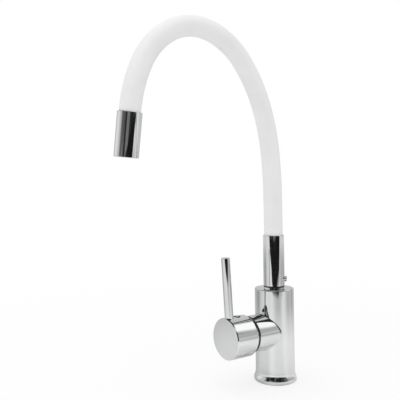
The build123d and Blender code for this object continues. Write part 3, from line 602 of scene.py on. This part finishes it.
# %% Foot ring
FOOT_WALL = 5.45 * MM
LIP_HEIGHT = 4 * MM
LIP_ROUND = 0.5 * MM
COVE_SAG = 0.5 * MM
COVE_STEPS = 10
GROOVE_WIDTH = 2.7 * MM
foot_low, foot_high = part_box("base_ring")
gasket_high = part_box("base_gasket")[1]
foot_radius = foot_high.x
foot_bore = foot_radius - FOOT_WALL
groove_outer = gasket_high.x + PLAY
groove_inner = groove_outer - GROOVE_WIDTH

lip_top = (foot_radius, LIP_HEIGHT)
ring_outline = [
    (groove_outer, foot_low.z),
    (foot_radius - LIP_ROUND, foot_low.z),
    (foot_radius, foot_low.z + LIP_ROUND),
    lip_top,
]
ring_outline += arc_points(lip_top, (body_radius, foot_high.z), -COVE_SAG, COVE_STEPS)
ring_outline += [
    (foot_bore, foot_high.z),
    (foot_bore, foot_low.z),
    (groove_inner, foot_low.z),
    (groove_inner, gasket_high.z),
    (groove_outer, gasket_high.z),
]
foot_ring = turned("foot_ring", ring_outline, hollow=True)
soften(foot_ring, width=0.15 * MM, segments=2)
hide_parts("base_ring")
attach(foot_ring, "body")
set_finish(foot_ring, "chrome")

# %% [markdown]
# ## The handle drum
#
# The drum is a cup that fits over the cartridge: a turned outside with a tapered rear edge,
# a pocket with a hub inside, and a flat end face. The lever screws into a shallow seat near
# the face, and a small plug covers the set screw behind it. The drum swings about a pivot
# inside the cartridge, so its rear edge and its hub stay outside a sphere round the pivot,
# where the dome of the cover ring is.

# %% Turned outside and pocket of the drum
TAPER_LENGTH = 4.5 * MM
TAPER_STEP = 2.7 * MM
FACE_BEVEL = 0.9 * MM
DRUM_WALL = 4 * MM
FACE_THICKNESS = 9.9 * MM
HUB_STEP = 0.5 * MM  # the hub's bore ends this far before the pocket's floor
hub_radius = 9.5 * MM
hub_bore = 5.8 * MM
pin_low, pin_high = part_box("pivot_pin")
pivot = -(pin_low.y + pin_high.y) / 2
rear_radius = drum_radius - TAPER_STEP
pocket_radius = drum_radius - DRUM_WALL
hollow_radius = math.hypot(rear_radius, drum_rear - pivot)
pocket_rear = pivot + math.sqrt(hollow_radius**2 - pocket_radius**2)
hub_rear = pivot + math.sqrt(hollow_radius**2 - hub_bore**2)
pocket_floor = drum_face - FACE_THICKNESS
hub_floor = pocket_floor - HUB_STEP

drum_outline = [
    (hub_bore, hub_floor),
    (hub_bore, hub_rear),
    (hub_radius, hub_rear),
    (hub_radius, pocket_floor),
    (pocket_radius, pocket_floor),
    (pocket_radius, pocket_rear),
    (rear_radius, drum_rear),
    (drum_radius, drum_rear + TAPER_LENGTH),
    (drum_radius, drum_face - FACE_BEVEL),
    (drum_radius - FACE_BEVEL, drum_face),
]
drum = settle(turned("handle_cup", drum_outline), on_handle_axis)
describe(drum)

# %% [markdown]
# The lever leans outward by a few degrees, so its seat is drilled along the lever's own
# line. Both seats are found from the frame: the lever's spigot and the plug tell where.

# %% Seats of the lever and the plug
LEVER_LEAN = math.radians(3.5)
SPIGOT_LENGTH = 9 * MM
SPIGOT_RADIUS = 2.5 * MM
TOP_ROUND = 0.5 * MM
SEAT_PLAY = 0.3 * MM
CLEAR_ABOVE = 5 * MM  # each drill starts this far above the floor of its seat
lever_low, lever_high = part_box("lever_pin")
lever_radius = lever_high.x
lean, upright = math.sin(LEVER_LEAN), math.cos(LEVER_LEAN)
lever_along = Vector((0, -lean, upright))
tilted_ends = (lever_radius - TOP_ROUND + SPIGOT_RADIUS) * lean
lever_length = (lever_high.z - lever_low.z - tilted_ends) / upright - SPIGOT_LENGTH
seat_y = lever_low.y + lever_radius * upright + (lever_length - TOP_ROUND) * lean
seat_z = lever_low.z + SPIGOT_RADIUS * lean + SPIGOT_LENGTH * upright
lever_foot = Vector((0, seat_y, seat_z))
plug_low, plug_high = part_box("index_plug")
plug_radius = plug_high.x
plug_y = (plug_low.y + plug_high.y) / 2
plug_place = Vector((0, plug_y, plug_low.z))

bore(drum, lever_radius + SEAT_PLAY, lever_foot, lever_foot + lever_along * CLEAR_ABOVE)
bore(drum, plug_radius + PLAY, plug_place, plug_place + Vector((0, 0, CLEAR_ABOVE)))
soften(drum, width=0.22 * MM, segments=3)
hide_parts("handle_drum")
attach(drum, "handle")
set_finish(drum, "drum_chrome")
print("lever foot:", [round(value / MM, 2) for value in lever_foot], "length", lever_length / MM)

# %% [markdown]
# ## The lever and the plug
#
# The lever is a plain rod with a flat, softly rounded top. Its thin spigot disappears in the
# drum. The plug is a small button with a dished middle.

# %% Lever pin
lever_frame = aimed(lever_foot, lever_along, up="X")
lever_outline = [(SPIGOT_RADIUS, -SPIGOT_LENGTH), (SPIGOT_RADIUS, 0), (lever_radius, 0)]
lever_outline += rounded_top(lever_radius, lever_length, TOP_ROUND, steps=5)
lever = settle(turned("lever_rod", lever_outline, sides=FINE_SIDES), lever_frame)
soften(lever, width=0.12 * MM, segments=2)
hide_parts("lever_pin")
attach(lever, "handle")
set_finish(lever, "chrome")

# %% Plug over the set screw
DISH_RADIUS = 2.3 * MM
DISH_DEPTH = 0.35 * MM
DISH_FLAT = 0.25  # share of the dish that is flat
DISH_SAG = 0.3  # of the dish's slope, as a share of its depth
PLUG_ROUND = 0.4 * MM
plug_top = plug_high.z - plug_low.z
dish_edge = (DISH_RADIUS, plug_top)
dish_floor = (DISH_RADIUS * DISH_FLAT, plug_top - DISH_DEPTH)
plug_outline = [(plug_radius, 0), *rounded_top(plug_radius, plug_top, PLUG_ROUND, steps=4)]
plug_outline += [dish_edge, *arc_points(dish_edge, dish_floor, -DISH_DEPTH * DISH_SAG, steps=4)]
plug = turned("screw_cover", plug_outline, sides=SMALL_SIDES)
settle(plug, Matrix.Translation(plug_place))
soften(plug, width=0.08 * MM, segments=2)
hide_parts("index_plug")
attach(plug, "handle")
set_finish(plug, "chrome")

# %% [markdown]
# ## The spout socket
#
# A chromed sleeve turns on the nipple and holds the neck in its upper end. Its rim is thin,
# so the white cover seems to slip into it. A small slotted screw in its side keeps it on.

# %% Socket
RIM_ROUND = 0.4 * MM
HOSE_PLAY = 0.15 * MM
SEAT_DEPTH = 14 * MM
WEB_HEIGHT = 7 * MM
hose_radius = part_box("neck_sleeve_1")[1].x
seat_radius = hose_radius + HOSE_PLAY
thread_radius = 6.55 * MM
socket_bore = 9.45 * MM
web_top = socket_high.z - SEAT_DEPTH
web_bottom = web_top - WEB_HEIGHT
socket_outline = [
    (socket_bore, socket_low.z),
    (socket_radius - RIM_ROUND, socket_low.z),
    (socket_radius, socket_low.z + RIM_ROUND),
    (socket_radius, socket_high.z - RIM_ROUND),
    (socket_radius - RIM_ROUND, socket_high.z),
    (seat_radius, socket_high.z),
    (seat_radius, web_top),
    (thread_radius, web_top),
    (thread_radius, web_bottom),
    (socket_bore, web_bottom),
]
SHANK_RADIUS = 1.7 * MM
SCREW_TURN = math.radians(45)  # from the back towards +X
screw_low, screw_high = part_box("socket_screw")
screw_outward = Vector((math.sin(SCREW_TURN), math.cos(SCREW_TURN), 0))
screw_level = Vector((0, 0, (screw_low.z + screw_high.z) / 2))
socket = turned("spout_sleeve", socket_outline, hollow=True)
hole_start = screw_level + screw_outward * socket_bore / 2
hole_end = screw_level + screw_outward * socket_radius * 2
bore(socket, SHANK_RADIUS + PLAY, hole_start, hole_end)
soften(socket, width=0.18 * MM, segments=3)
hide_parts("spout_socket")
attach(socket, "spout")
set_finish(socket, "chrome")

# %% [markdown]
# The head of the screw is turned and laid on its side. It is hollow below, so that it sits
# on the round socket: the socket's cylinder is cut out of it. Then the shank is united with
# it, and a thin block cuts the slot.

# %% Screw in the side of the socket
HEAD_ROUND = 0.8 * MM
HEAD_HEIGHT = 2.6 * MM
TIP_DISTANCE = 8.3 * MM  # from the middle of the socket
SLOT_WIDTH = 1 * MM
SLOT_DEPTH = 0.9 * MM
head_radius = (screw_high.z - screw_low.z) / 2
head_top = socket_radius + HEAD_HEIGHT
head_under = math.sqrt(socket_radius**2 - head_radius**2)
head_outline = [(head_radius, head_under)]
head_outline += rounded_top(head_radius, head_top, HEAD_ROUND, steps=4)
screw_frame = aimed(screw_level, screw_outward)
screw = settle(turned("sleeve_screw", head_outline, sides=SMALL_SIDES), screw_frame)
around = turned("cutter", [(socket_radius, screw_low.z - MM), (socket_radius, screw_high.z + MM)])
combine(screw, around, "DIFFERENCE")
shank_outline = [(SHANK_RADIUS, TIP_DISTANCE), (SHANK_RADIUS, head_top - HEAD_ROUND * 2)]
shank = turned("shank", shank_outline, sides=SMALL_SIDES)
combine(screw, settle(shank, screw_frame), "UNION")
bpy.ops.object.select_all(action="DESELECT")
bpy.ops.mesh.primitive_cube_add(size=1)
blade = bpy.context.object
blade_size = Matrix.Diagonal((SLOT_WIDTH, head_radius * 3, SLOT_DEPTH * 2, 1))
blade_place = screw_frame @ Matrix.Translation((0, 0, head_top)) @ blade_size
combine(screw, settle(blade, blade_place), "DIFFERENCE")
soften(screw, width=0.07 * MM, segments=2)
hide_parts("socket_screw")
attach(screw, "spout")
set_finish(screw, "chrome")

# %% [markdown]
# ## The centre line of the neck
#
# The neck is a chain of eight arcs that meet without a kink. An arc is fixed by where it
# starts, which way it starts and where it ends, and the joints of the frame give those
# points. Only the last arc ends in no joint, so its bend is written here: it turns by a
# known angle and leans a little to one side, as a neck does that was bent by hand.

# %% Arcs of the neck
LAST_TURN = math.radians(25)
LAST_ROLL = math.radians(-20)
bend_joints = sorted(
    (joint for joint in frame["joints"] if joint["name"].startswith("neck_bend_")),
    key=lambda joint: joint["name"],
)


def rotation_about(centre, axis, angle):
    """Matrix that turns by an angle about an axis through a point."""
    turn = Matrix.Rotation(angle, 4, axis)
    return Matrix.Translation(centre) @ turn @ Matrix.Translation(-centre)


def make_arc(frame_start, axis, angle, radius):
    """An arc from a frame whose Z runs along the neck: how it bends, and the frame it ends in."""
    start = frame_start.translation
    along = frame_start.col[2].xyz
    centre = start + axis.cross(along) * radius
    end = rotation_about(centre, axis, angle) @ frame_start
    return dict(start=frame_start, end=end, centre=centre, axis=axis, angle=angle, radius=radius)


arcs = []
neck_frame = Matrix.Translation((0, 0, socket_high.z))
for joint in bend_joints:
    chord = Vector(joint["pos_m"]) - neck_frame.translation
    along = neck_frame.col[2].xyz
    half_angle = along.angle(chord)
    axis = along.cross(chord).normalized()
    radius = chord.length / (2 * math.sin(half_angle))
    arcs.append(make_arc(neck_frame, axis, half_angle * 2, radius))
    neck_frame = arcs[-1]["end"]
arc_length = arcs[-1]["radius"] * arcs[-1]["angle"]
last_axis = Matrix.Rotation(LAST_ROLL, 3, neck_frame.col[2].xyz) @ arcs[-1]["axis"]
arcs.append(make_arc(neck_frame, last_axis, LAST_TURN, arc_length / LAST_TURN))
neck_end = arcs[-1]["end"]
print("turns:", [round(math.degrees(arc["angle"]), 1) for arc in arcs], "length", arc_length / MM)

# %% [markdown]
# ## The white cover
#
# The cover is a smooth silicone hose. So we model nine lengths of it. It has to bend at seven
# joints, and a blend works across one joint only. The seven inner ones run from the middle of
# one arc to the middle of the next and so have one joint inside; the first and the last reach
# into the socket and the nozzle. A length starts as a circle, is spun about one arc's centre
# and then about the next one's, and gets its wall at the end. The first length rides on the
# spout and the last on the last bend; the inner ones are only put in place. The circles where
# two lengths meet are the same, so the seam can't be seen.

# %% Lengths of the cover
COVER_SIDES = 128
SPIN_STEPS = 14
COVER_WALL = 2 * MM
SLEEVE_DEPTH = 12 * MM
NOZZLE_DEPTH = 10 * MM


def middle_of(arc):
    """The frame halfway along an arc."""
    return rotation_about(arc["centre"], arc["axis"], arc["angle"] / 2) @ arc["start"]


def hose_length(name, first_frame, bends, straight_before=0, straight_after=0):
    """A length of hose that starts square to a frame and follows half of each arc."""
    bpy.ops.object.select_all(action="DESELECT")
    bpy.ops.mesh.primitive_circle_add(vertices=COVER_SIDES, radius=hose_radius, fill_type="NOTHING")
    piece = settle(bpy.context.object, first_frame @ Matrix.Translation((0, 0, -straight_before)))
    piece.name = piece.data.name = name
    bpy.ops.object.mode_set(mode="EDIT")
    bpy.ops.mesh.select_all(action="SELECT")
    if straight_before:
        extrude(first_frame.col[2].xyz * straight_before)
    for arc in bends:
        half_turn = -arc["angle"] / 2
        bpy.ops.mesh.spin(
            steps=SPIN_STEPS, angle=half_turn, center=arc["centre"], axis=arc["axis"]
        )
    if straight_after:
        extrude(bends[-1]["end"].col[2].xyz * straight_after)
    close_up()
    apply_modifier(piece, "SOLIDIFY", thickness=COVER_WALL, offset=-1, use_even_offset=True)
    pick(piece)
    bpy.ops.object.shade_smooth_by_angle(angle=SHARP)
    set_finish(piece, "white_silicone")
    return piece


covers = [hose_length("neck_cover_0", arcs[0]["start"], arcs[:1], straight_before=SLEEVE_DEPTH)]
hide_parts("neck_sleeve_1")
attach(covers[0], "spout")
neck_bodies = ["spout"] + [joint["child"] for joint in bend_joints]
for number in range(1, len(arcs)):
    before, after = arcs[number - 1 : number + 1]
    cover = hose_length(f"neck_cover_{number}", middle_of(before), [before, after])
    along = after["start"].col[2].xyz
    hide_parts(f"neck_sleeve_{number + 1}")
    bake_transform(cover)
    covers.append(cover)
last_cover = hose_length(
    f"neck_cover_{len(arcs)}", middle_of(arcs[-1]), arcs[-1:], straight_after=NOZZLE_DEPTH
)
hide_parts(f"neck_sleeve_{len(arcs)}")
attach(last_cover, neck_bodies[-1])
covers.append(last_cover)
for cover in covers:
    describe(cover)

# %% [markdown]
# ## The nozzle
#
# The nozzle is a thin chromed shell over the aerator. It is turned along Z and then put on
# the neck's last frame, whose Z points at the mouth.

# %% Nozzle shell
NOZZLE_LENGTH = 45 * MM
NOZZLE_LIP = 1.45 * MM
NOZZLE_WALL = 1.9 * MM
NOZZLE_SEAT = 12 * MM
NOZZLE_WEB = 18 * MM
LEDGE = 1.2 * MM
AERATOR_START = 29.2 * MM
nozzle_radius = seat_radius + NOZZLE_LIP
chamber_radius = nozzle_radius - NOZZLE_WALL
nozzle_outline = [
    (seat_radius, 0),
    (nozzle_radius - RIM_ROUND, 0),
    (nozzle_radius, RIM_ROUND),
    (nozzle_radius, NOZZLE_LENGTH - RIM_ROUND),
    (nozzle_radius - RIM_ROUND, NOZZLE_LENGTH),
    (chamber_radius, NOZZLE_LENGTH),
    (chamber_radius, AERATOR_START),
    (chamber_radius - LEDGE, AERATOR_START),
    (chamber_radius - LEDGE, NOZZLE_WEB),
    (thread_radius, NOZZLE_WEB),
    (thread_radius, NOZZLE_SEAT),
    (seat_radius, NOZZLE_SEAT),
]
nozzle = settle(turned("nozzle_sleeve", nozzle_outline, hollow=True), neck_end)
soften(nozzle, width=0.18 * MM, segments=3)
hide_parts("nozzle_shell")
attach(nozzle, neck_bodies[-1])
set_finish(nozzle, "chrome")

# %% [markdown]
# ## Shared effects for the finishes
#
# Real surfaces are never quite even. Four small node groups add that unevenness, and every
# finish below uses some of them. They work on the object's own coordinates, so a finish
# stays on its piece when the tap moves. A group only hands out numbers and colours; the
# shader itself stays in each material.

# %% Start a node group, add noise
SOCKET_KINDS = dict.fromkeys(("Place", "Stretch", "Centre", "Across"), "Vector")
SOCKET_KINDS["Color"] = "Color"


def new_group(name, inputs, outputs):
    """Start a node group with a place and these inputs; returns it with its inner ends."""
    group = bpy.data.node_groups.new(name, "ShaderNodeTree")
    ends = [(label, "INPUT") for label in ("Place", *inputs)]
    ends += [(label, "OUTPUT") for label in outputs]
    for label, end in ends:
        kind = "NodeSocket" + SOCKET_KINDS.get(label, "Float")
        socket = group.interface.new_socket(name=label, in_out=end, socket_type=kind)
        if inputs.get(label) is not None:
            socket.default_value = inputs[label]
    inside = node_at(group, "NodeGroupInput").outputs
    outside = node_at(group, "NodeGroupOutput").inputs
    return group, inside, outside


def noise_node(tree, place, scale, detail):
    """Soft noise, mostly between a third and two thirds."""
    node = node_at(tree, "ShaderNodeTexNoise")
    return feed(tree, node, Vector=place, Scale=scale, Detail=detail)["Fac"]


# %% [markdown]
# The first group gives a soft noise between two values, for roughness. The second makes a
# colour a little darker in places. Noise stays near its middle, so a narrow span of it is
# stretched over the values that are wanted.

# %% Uneven value and drifting colour
UNEVEN_SPAN = (0.32, 0.68)
DRIFT_SPAN = (0.35, 0.60)
uneven, inside, outside = new_group(
    "uneven_value", {"Scale": 60.0, "Low": 0.0, "High": 1.0}, ["Value"]
)
noise = noise_node(uneven, inside["Place"], inside["Scale"], detail=4)
spread = range_node(uneven, noise, UNEVEN_SPAN, (inside["Low"], inside["High"]))
connect(uneven, outside["Value"], spread)

drift, inside, outside = new_group(
    "colour_drift", {"Color": None, "Scale": 40.0, "Darkest": 0.9}, ["Color"]
)
noise = noise_node(drift, inside["Place"], inside["Scale"], detail=3)
darkness = range_node(drift, noise, DRIFT_SPAN, (inside["Darkest"], 1.0))
connect(drift, outside["Color"], vector_node(drift, "SCALE", inside["Color"], scale=darkness))

# %% [markdown]
# The third group makes the shallow waves that polishing leaves, longer along one direction.
# The fourth makes the fine marks of a lathe: rings round a line, as a noise over the distance
# from that line. It hands out the distance too, because a mask often needs it.

# %% Polishing waves and turning rings
ripples, inside, outside = new_group(
    "polish_ripples", {"Stretch": (1.0, 1.0, 1.0), "Scale": 60.0}, ["Height"]
)
stretched = vector_node(ripples, "MULTIPLY", inside["Place"], inside["Stretch"])
waves = noise_node(ripples, stretched, inside["Scale"], detail=1)
connect(ripples, outside["Height"], waves)

rings, inside, outside = new_group(
    "turning_rings",
    {"Centre": (0.0, 0.0, 0.0), "Across": (1.0, 1.0, 0.0), "Scale": 3000.0},
    ["Height", "Distance"],
)
offset = vector_node(rings, "SUBTRACT", inside["Place"], inside["Centre"])
distance = vector_node(rings, "LENGTH", vector_node(rings, "MULTIPLY", offset, inside["Across"]))
marks = node_at(rings, "ShaderNodeTexNoise", noise_dimensions="1D")
marks = feed(rings, marks, W=distance, Scale=inside["Scale"], Detail=2)["Fac"]
connect(rings, outside["Height"], marks)
connect(rings, outside["Distance"], distance)
print("node groups:", [group.name for group in bpy.data.node_groups])

# %% [markdown]
# A finish starts as a principled shader on object coordinates. Two helpers call a node group
# and turn a height into a normal. The depth of a bump is a real depth in metres: a few
# thousandths of a millimetre are enough to bend a mirror image.

# %% Start a finish, call a group, raise a bump


def new_finish(name, **values):
    """A principled material; returns it, its tree, its shader and the object coordinates."""
    material = bpy.data.materials.new(name)
    material.use_nodes = True
    tree = material.node_tree
    shader = tree.nodes["Principled BSDF"]
    feed(tree, shader, **values)
    return material, tree, shader, node_at(tree, "ShaderNodeTexCoord").outputs["Object"]


def use_group(tree, group, place, **inputs):
    """Add a group node, feed it and return its outputs."""
    return feed(tree, node_at(tree, "ShaderNodeGroup", node_tree=group), Place=place, **inputs)


def raise_bump(tree, shader, height, depth, under=None):
    """Bump the shader's normal by a height of this depth, over another bump if there is one."""
    bump = node_at(tree, "ShaderNodeBump")
    normal = feed(tree, bump, Distance=depth, Height=height, Normal=under)["Normal"]
    feed(tree, shader, Normal=normal)
    return normal


def worn_surface(tree, shader, place, colour, darkest, rough, colour_scale, rough_scale):
    """Give a shader a drifting colour and an uneven roughness; returns both."""
    tint = use_group(tree, drift, place, Color=(*colour, 1), Scale=colour_scale, Darkest=darkest)
    wear = use_group(tree, uneven, place, Scale=rough_scale, Low=rough[0], High=rough[1])
    feed(tree, shader, Base_Color=tint["Color"], Roughness=wear["Value"])
    return tint["Color"], wear["Value"]


# %% [markdown]
# ## The finishes
#
# Polished chrome mirrors almost everything, so what makes it real is a trace of waviness and
# a roughness that is hardly above zero. Three pieces add something to it, so the recipe hands
# out its parts as well.

# %% Chrome
CHROME = (0.80, 0.805, 0.81)
CHROME_ROUGH = (0.03, 0.075)
WAVE_DEPTH = 0.05 * MM
WAVE_STRETCH = (1.0, 1.0, 0.35)


def chrome_finish(name):
    """Polished chrome with shallow waves; returns the material and what it is made of."""
    material, tree, shader, place = new_finish(name, Metallic=1.0)
    tint, haze = worn_surface(
        tree, shader, place, CHROME, 0.95, CHROME_ROUGH, colour_scale=25, rough_scale=90
    )
    waves = use_group(tree, ripples, place, Scale=70, Stretch=WAVE_STRETCH)
    normal = raise_bump(tree, shader, waves["Height"], WAVE_DEPTH)
    return material, tree, shader, place, tint, haze, normal


def mix_values(tree, share, low, high):
    """Mix two numbers by a share."""
    return feed(tree, node_at(tree, "ShaderNodeMix"), Factor=share, A=low, B=high)["Result"]


finishes = {"chrome": chrome_finish("chrome")[0]}
print("chrome roughness:", CHROME_ROUGH)

# %% [markdown]
# The end face of the drum is turned and left satin: there a mask, made from the distance
# along the handle, brings in more roughness and the rings of the turning tool.

# %% Drum with its satin face
FACE_FADE = (0.3 * MM, 0.15 * MM)  # below the face
FACE_ROUGH = (0.20, 0.26)
FACE_MARKS = 0.003 * MM
handle_line = {"Centre": (0, 0, handle_height), "Across": (1.0, 0.0, 1.0)}
drum_chrome, tree, shader, place, tint, haze, normal = chrome_finish("drum_chrome")
fade_places = [depth - drum_face for depth in FACE_FADE]
on_face = range_node(tree, part_node(tree, place, "Y"), fade_places)
turning = use_group(tree, rings, place, Scale=900, **handle_line)
satin = use_group(tree, uneven, place, Scale=150, Low=FACE_ROUGH[0], High=FACE_ROUGH[1])
feed(tree, shader, Roughness=mix_values(tree, on_face, haze, satin["Value"]))
marks = math_node(tree, "MULTIPLY", turning["Height"], on_face)
raise_bump(tree, shader, marks, FACE_MARKS, under=normal)
finishes["drum_chrome"] = drum_chrome
print("roughness of the satin face:", FACE_ROUGH)

# %% [markdown]
# The cover plug is chromed as well. Its rim is painted dark, as the shade in the narrow gap
# round the plug, so that it reads as a small dark ring with a bright middle: again a mask from
# a distance, here from the plug's own line.

# %% Plug with painted gap shade at its rim
GAP_SHADE_FADE = (1.1 * MM, 0.9 * MM)  # inside the plug's edge
# the dark rim colour is painted shade of the narrow gap round the plug
PAINTED_GAP_SHADE = grey(0.02)
GAP_SHADE_ROUGH = 0.5
plug_chrome, tree, shader, place, tint, haze, normal = chrome_finish("plug_chrome")
from_middle = use_group(tree, rings, place, Centre=(0, plug_y, 0))["Distance"]
gap_shade = range_node(tree, from_middle, [plug_radius - depth for depth in GAP_SHADE_FADE])
feed(
    tree,
    shader,
    Base_Color=mix_node(tree, gap_shade, tint, PAINTED_GAP_SHADE),
    Metallic=math_node(tree, "SUBTRACT", 1.0, gap_shade),
    Roughness=mix_values(tree, gap_shade, haze, GAP_SHADE_ROUGH),
)
print("dark rim:", GAP_SHADE_FADE[1] / MM, "mm wide")

# %% [markdown]
# Where the boss meets the body, a fine dark line of painted shade sits in the corner. Two
# distances find it: one from the body's own line and one from the handle's line. The corner
# is where each distance is close to its surface's radius. The painted shade fades out over
# the lower half of the corner, which stays bright.

# %% Body with painted shade in its corner
CORNER_REACH = 0.9 * MM
# painted shade in the crease where the boss meets the body
PAINTED_CORNER_SHADE = grey(0.03)
CORNER_FADE = (handle_height - 2 * MM, handle_height + 4 * MM)
body_chrome, tree, shader, place, tint, haze, normal = chrome_finish("body_chrome")


def closeness(distance, radius):
    """One where a distance equals the radius, falling to zero at the corner's reach."""
    apart = math_node(tree, "ABSOLUTE", math_node(tree, "SUBTRACT", distance, radius))
    return range_node(tree, apart, (0.0, CORNER_REACH), (1.0, 0.0), smooth=True)


masks = [
    closeness(use_group(tree, rings, place)["Distance"], body_radius),
    closeness(use_group(tree, rings, place, **handle_line)["Distance"], boss_radius),
    math_node(tree, "LESS_THAN", part_node(tree, place, "Y"), 0.0),
    range_node(tree, part_node(tree, place, "Z"), CORNER_FADE, smooth=True),
]
corner_shade = masks[0]
for mask in masks[1:]:
    corner_shade = math_node(tree, "MULTIPLY", corner_shade, mask)
# the corner's painted shade goes into the colour
feed(tree, shader, Base_Color=mix_node(tree, corner_shade, tint, PAINTED_CORNER_SHADE))
print("corner reach", CORNER_REACH / MM, "mm")

# %% [markdown]
# The silicone of the cover is matte, with a faint grain and a slightly greasy unevenness.
# The hidden parts get honest finishes too, because someone may take the tap apart: moulded
# plastics, rubber and lapped ceramic.

# %% Silicone, plastics, rubber and ceramic
plain_recipes = {
    "white_silicone": ((0.82, 0.82, 0.825), 0.97, (0.46, 0.58), 35, 2500, 0.004),
    "water_tube": ((0.80, 0.82, 0.80), 0.92, (0.28, 0.40), 60, 400, 0.01),
    "grey_plastic": ((0.35, 0.36, 0.38), 0.90, (0.38, 0.50), 80, 1800, 0.008),
    "black_plastic": ((0.03, 0.03, 0.033), 0.80, (0.32, 0.45), 80, 1800, 0.006),
    "black_rubber": ((0.035, 0.035, 0.035), 0.75, (0.60, 0.75), 90, 1500, 0.015),
    "ceramic": ((0.90, 0.89, 0.86), 0.94, (0.16, 0.26), 120, 3000, 0.002),
}  # colour, darkest share, roughness, scale of both, scale of the grain and its depth in mm
extras = {"white_silicone": {"Specular_IOR_Level": 0.35}, "water_tube": {"Coat_Weight": 0.2}}

for name, (colour, darkest, rough, scale, grain_scale, grain_depth) in plain_recipes.items():
    material, tree, shader, place = new_finish(name, **extras.get(name, {}))
    worn_surface(tree, shader, place, colour, darkest, rough, scale, scale)
    grain = use_group(tree, ripples, place, Scale=grain_scale)
    raise_bump(tree, shader, grain["Height"], grain_depth * MM)
    finishes[name] = material
print("plain finishes:", list(plain_recipes))

# %% [markdown]
# Brass and steel parts come off the lathe, so they show its rings. The rings run round the
# tap's own line, and a little of the height is mixed in, so that flat ends show them too.

# %% Brass and steel
RING_DEPTH = 0.01 * MM
RING_ACROSS = (1, 1, 0.3)
machined_recipes = {
    "brass": ((0.78, 0.62, 0.30), 0.85, (0.22, 0.34)),
    "steel": ((0.55, 0.55, 0.56), 0.88, (0.24, 0.38)),
}  # colour, darkest share, roughness

for name, recipe in machined_recipes.items():
    material, tree, shader, place = new_finish(name, Metallic=1.0)
    worn_surface(tree, shader, place, *recipe, colour_scale=50, rough_scale=120)
    turning = use_group(tree, rings, place, Across=RING_ACROSS, Scale=1500)
    raise_bump(tree, shader, turning["Height"], RING_DEPTH)
    finishes[name] = material
print("machined finishes:", list(machined_recipes))

# %% [markdown]
# Every piece gets its finish from the slot that the record names for it. The construction
# pieces that stay as they are keep their slot too, and the modelled ones take theirs. The
# plug and the body then get their own kinds of chrome, with painted shade at the plug's rim
# and in the body's corner.

# %% Hand out the finishes
for entry in frame["record"]["subparts"]:
    node = frame["nodes"][entry["node"]]
    node.data.materials.clear()
    node.data.materials.append(finishes[entry["material_slot"]])
for piece in [foot_ring, drum, lever, plug, socket, screw, nozzle, *covers]:
    piece.data.materials.append(finishes[piece["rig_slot"]])
plug.data.materials[0] = plug_chrome
frame["nodes"]["body_casting"].data.materials[0] = body_chrome
print("finishes by slot:", list(finishes))
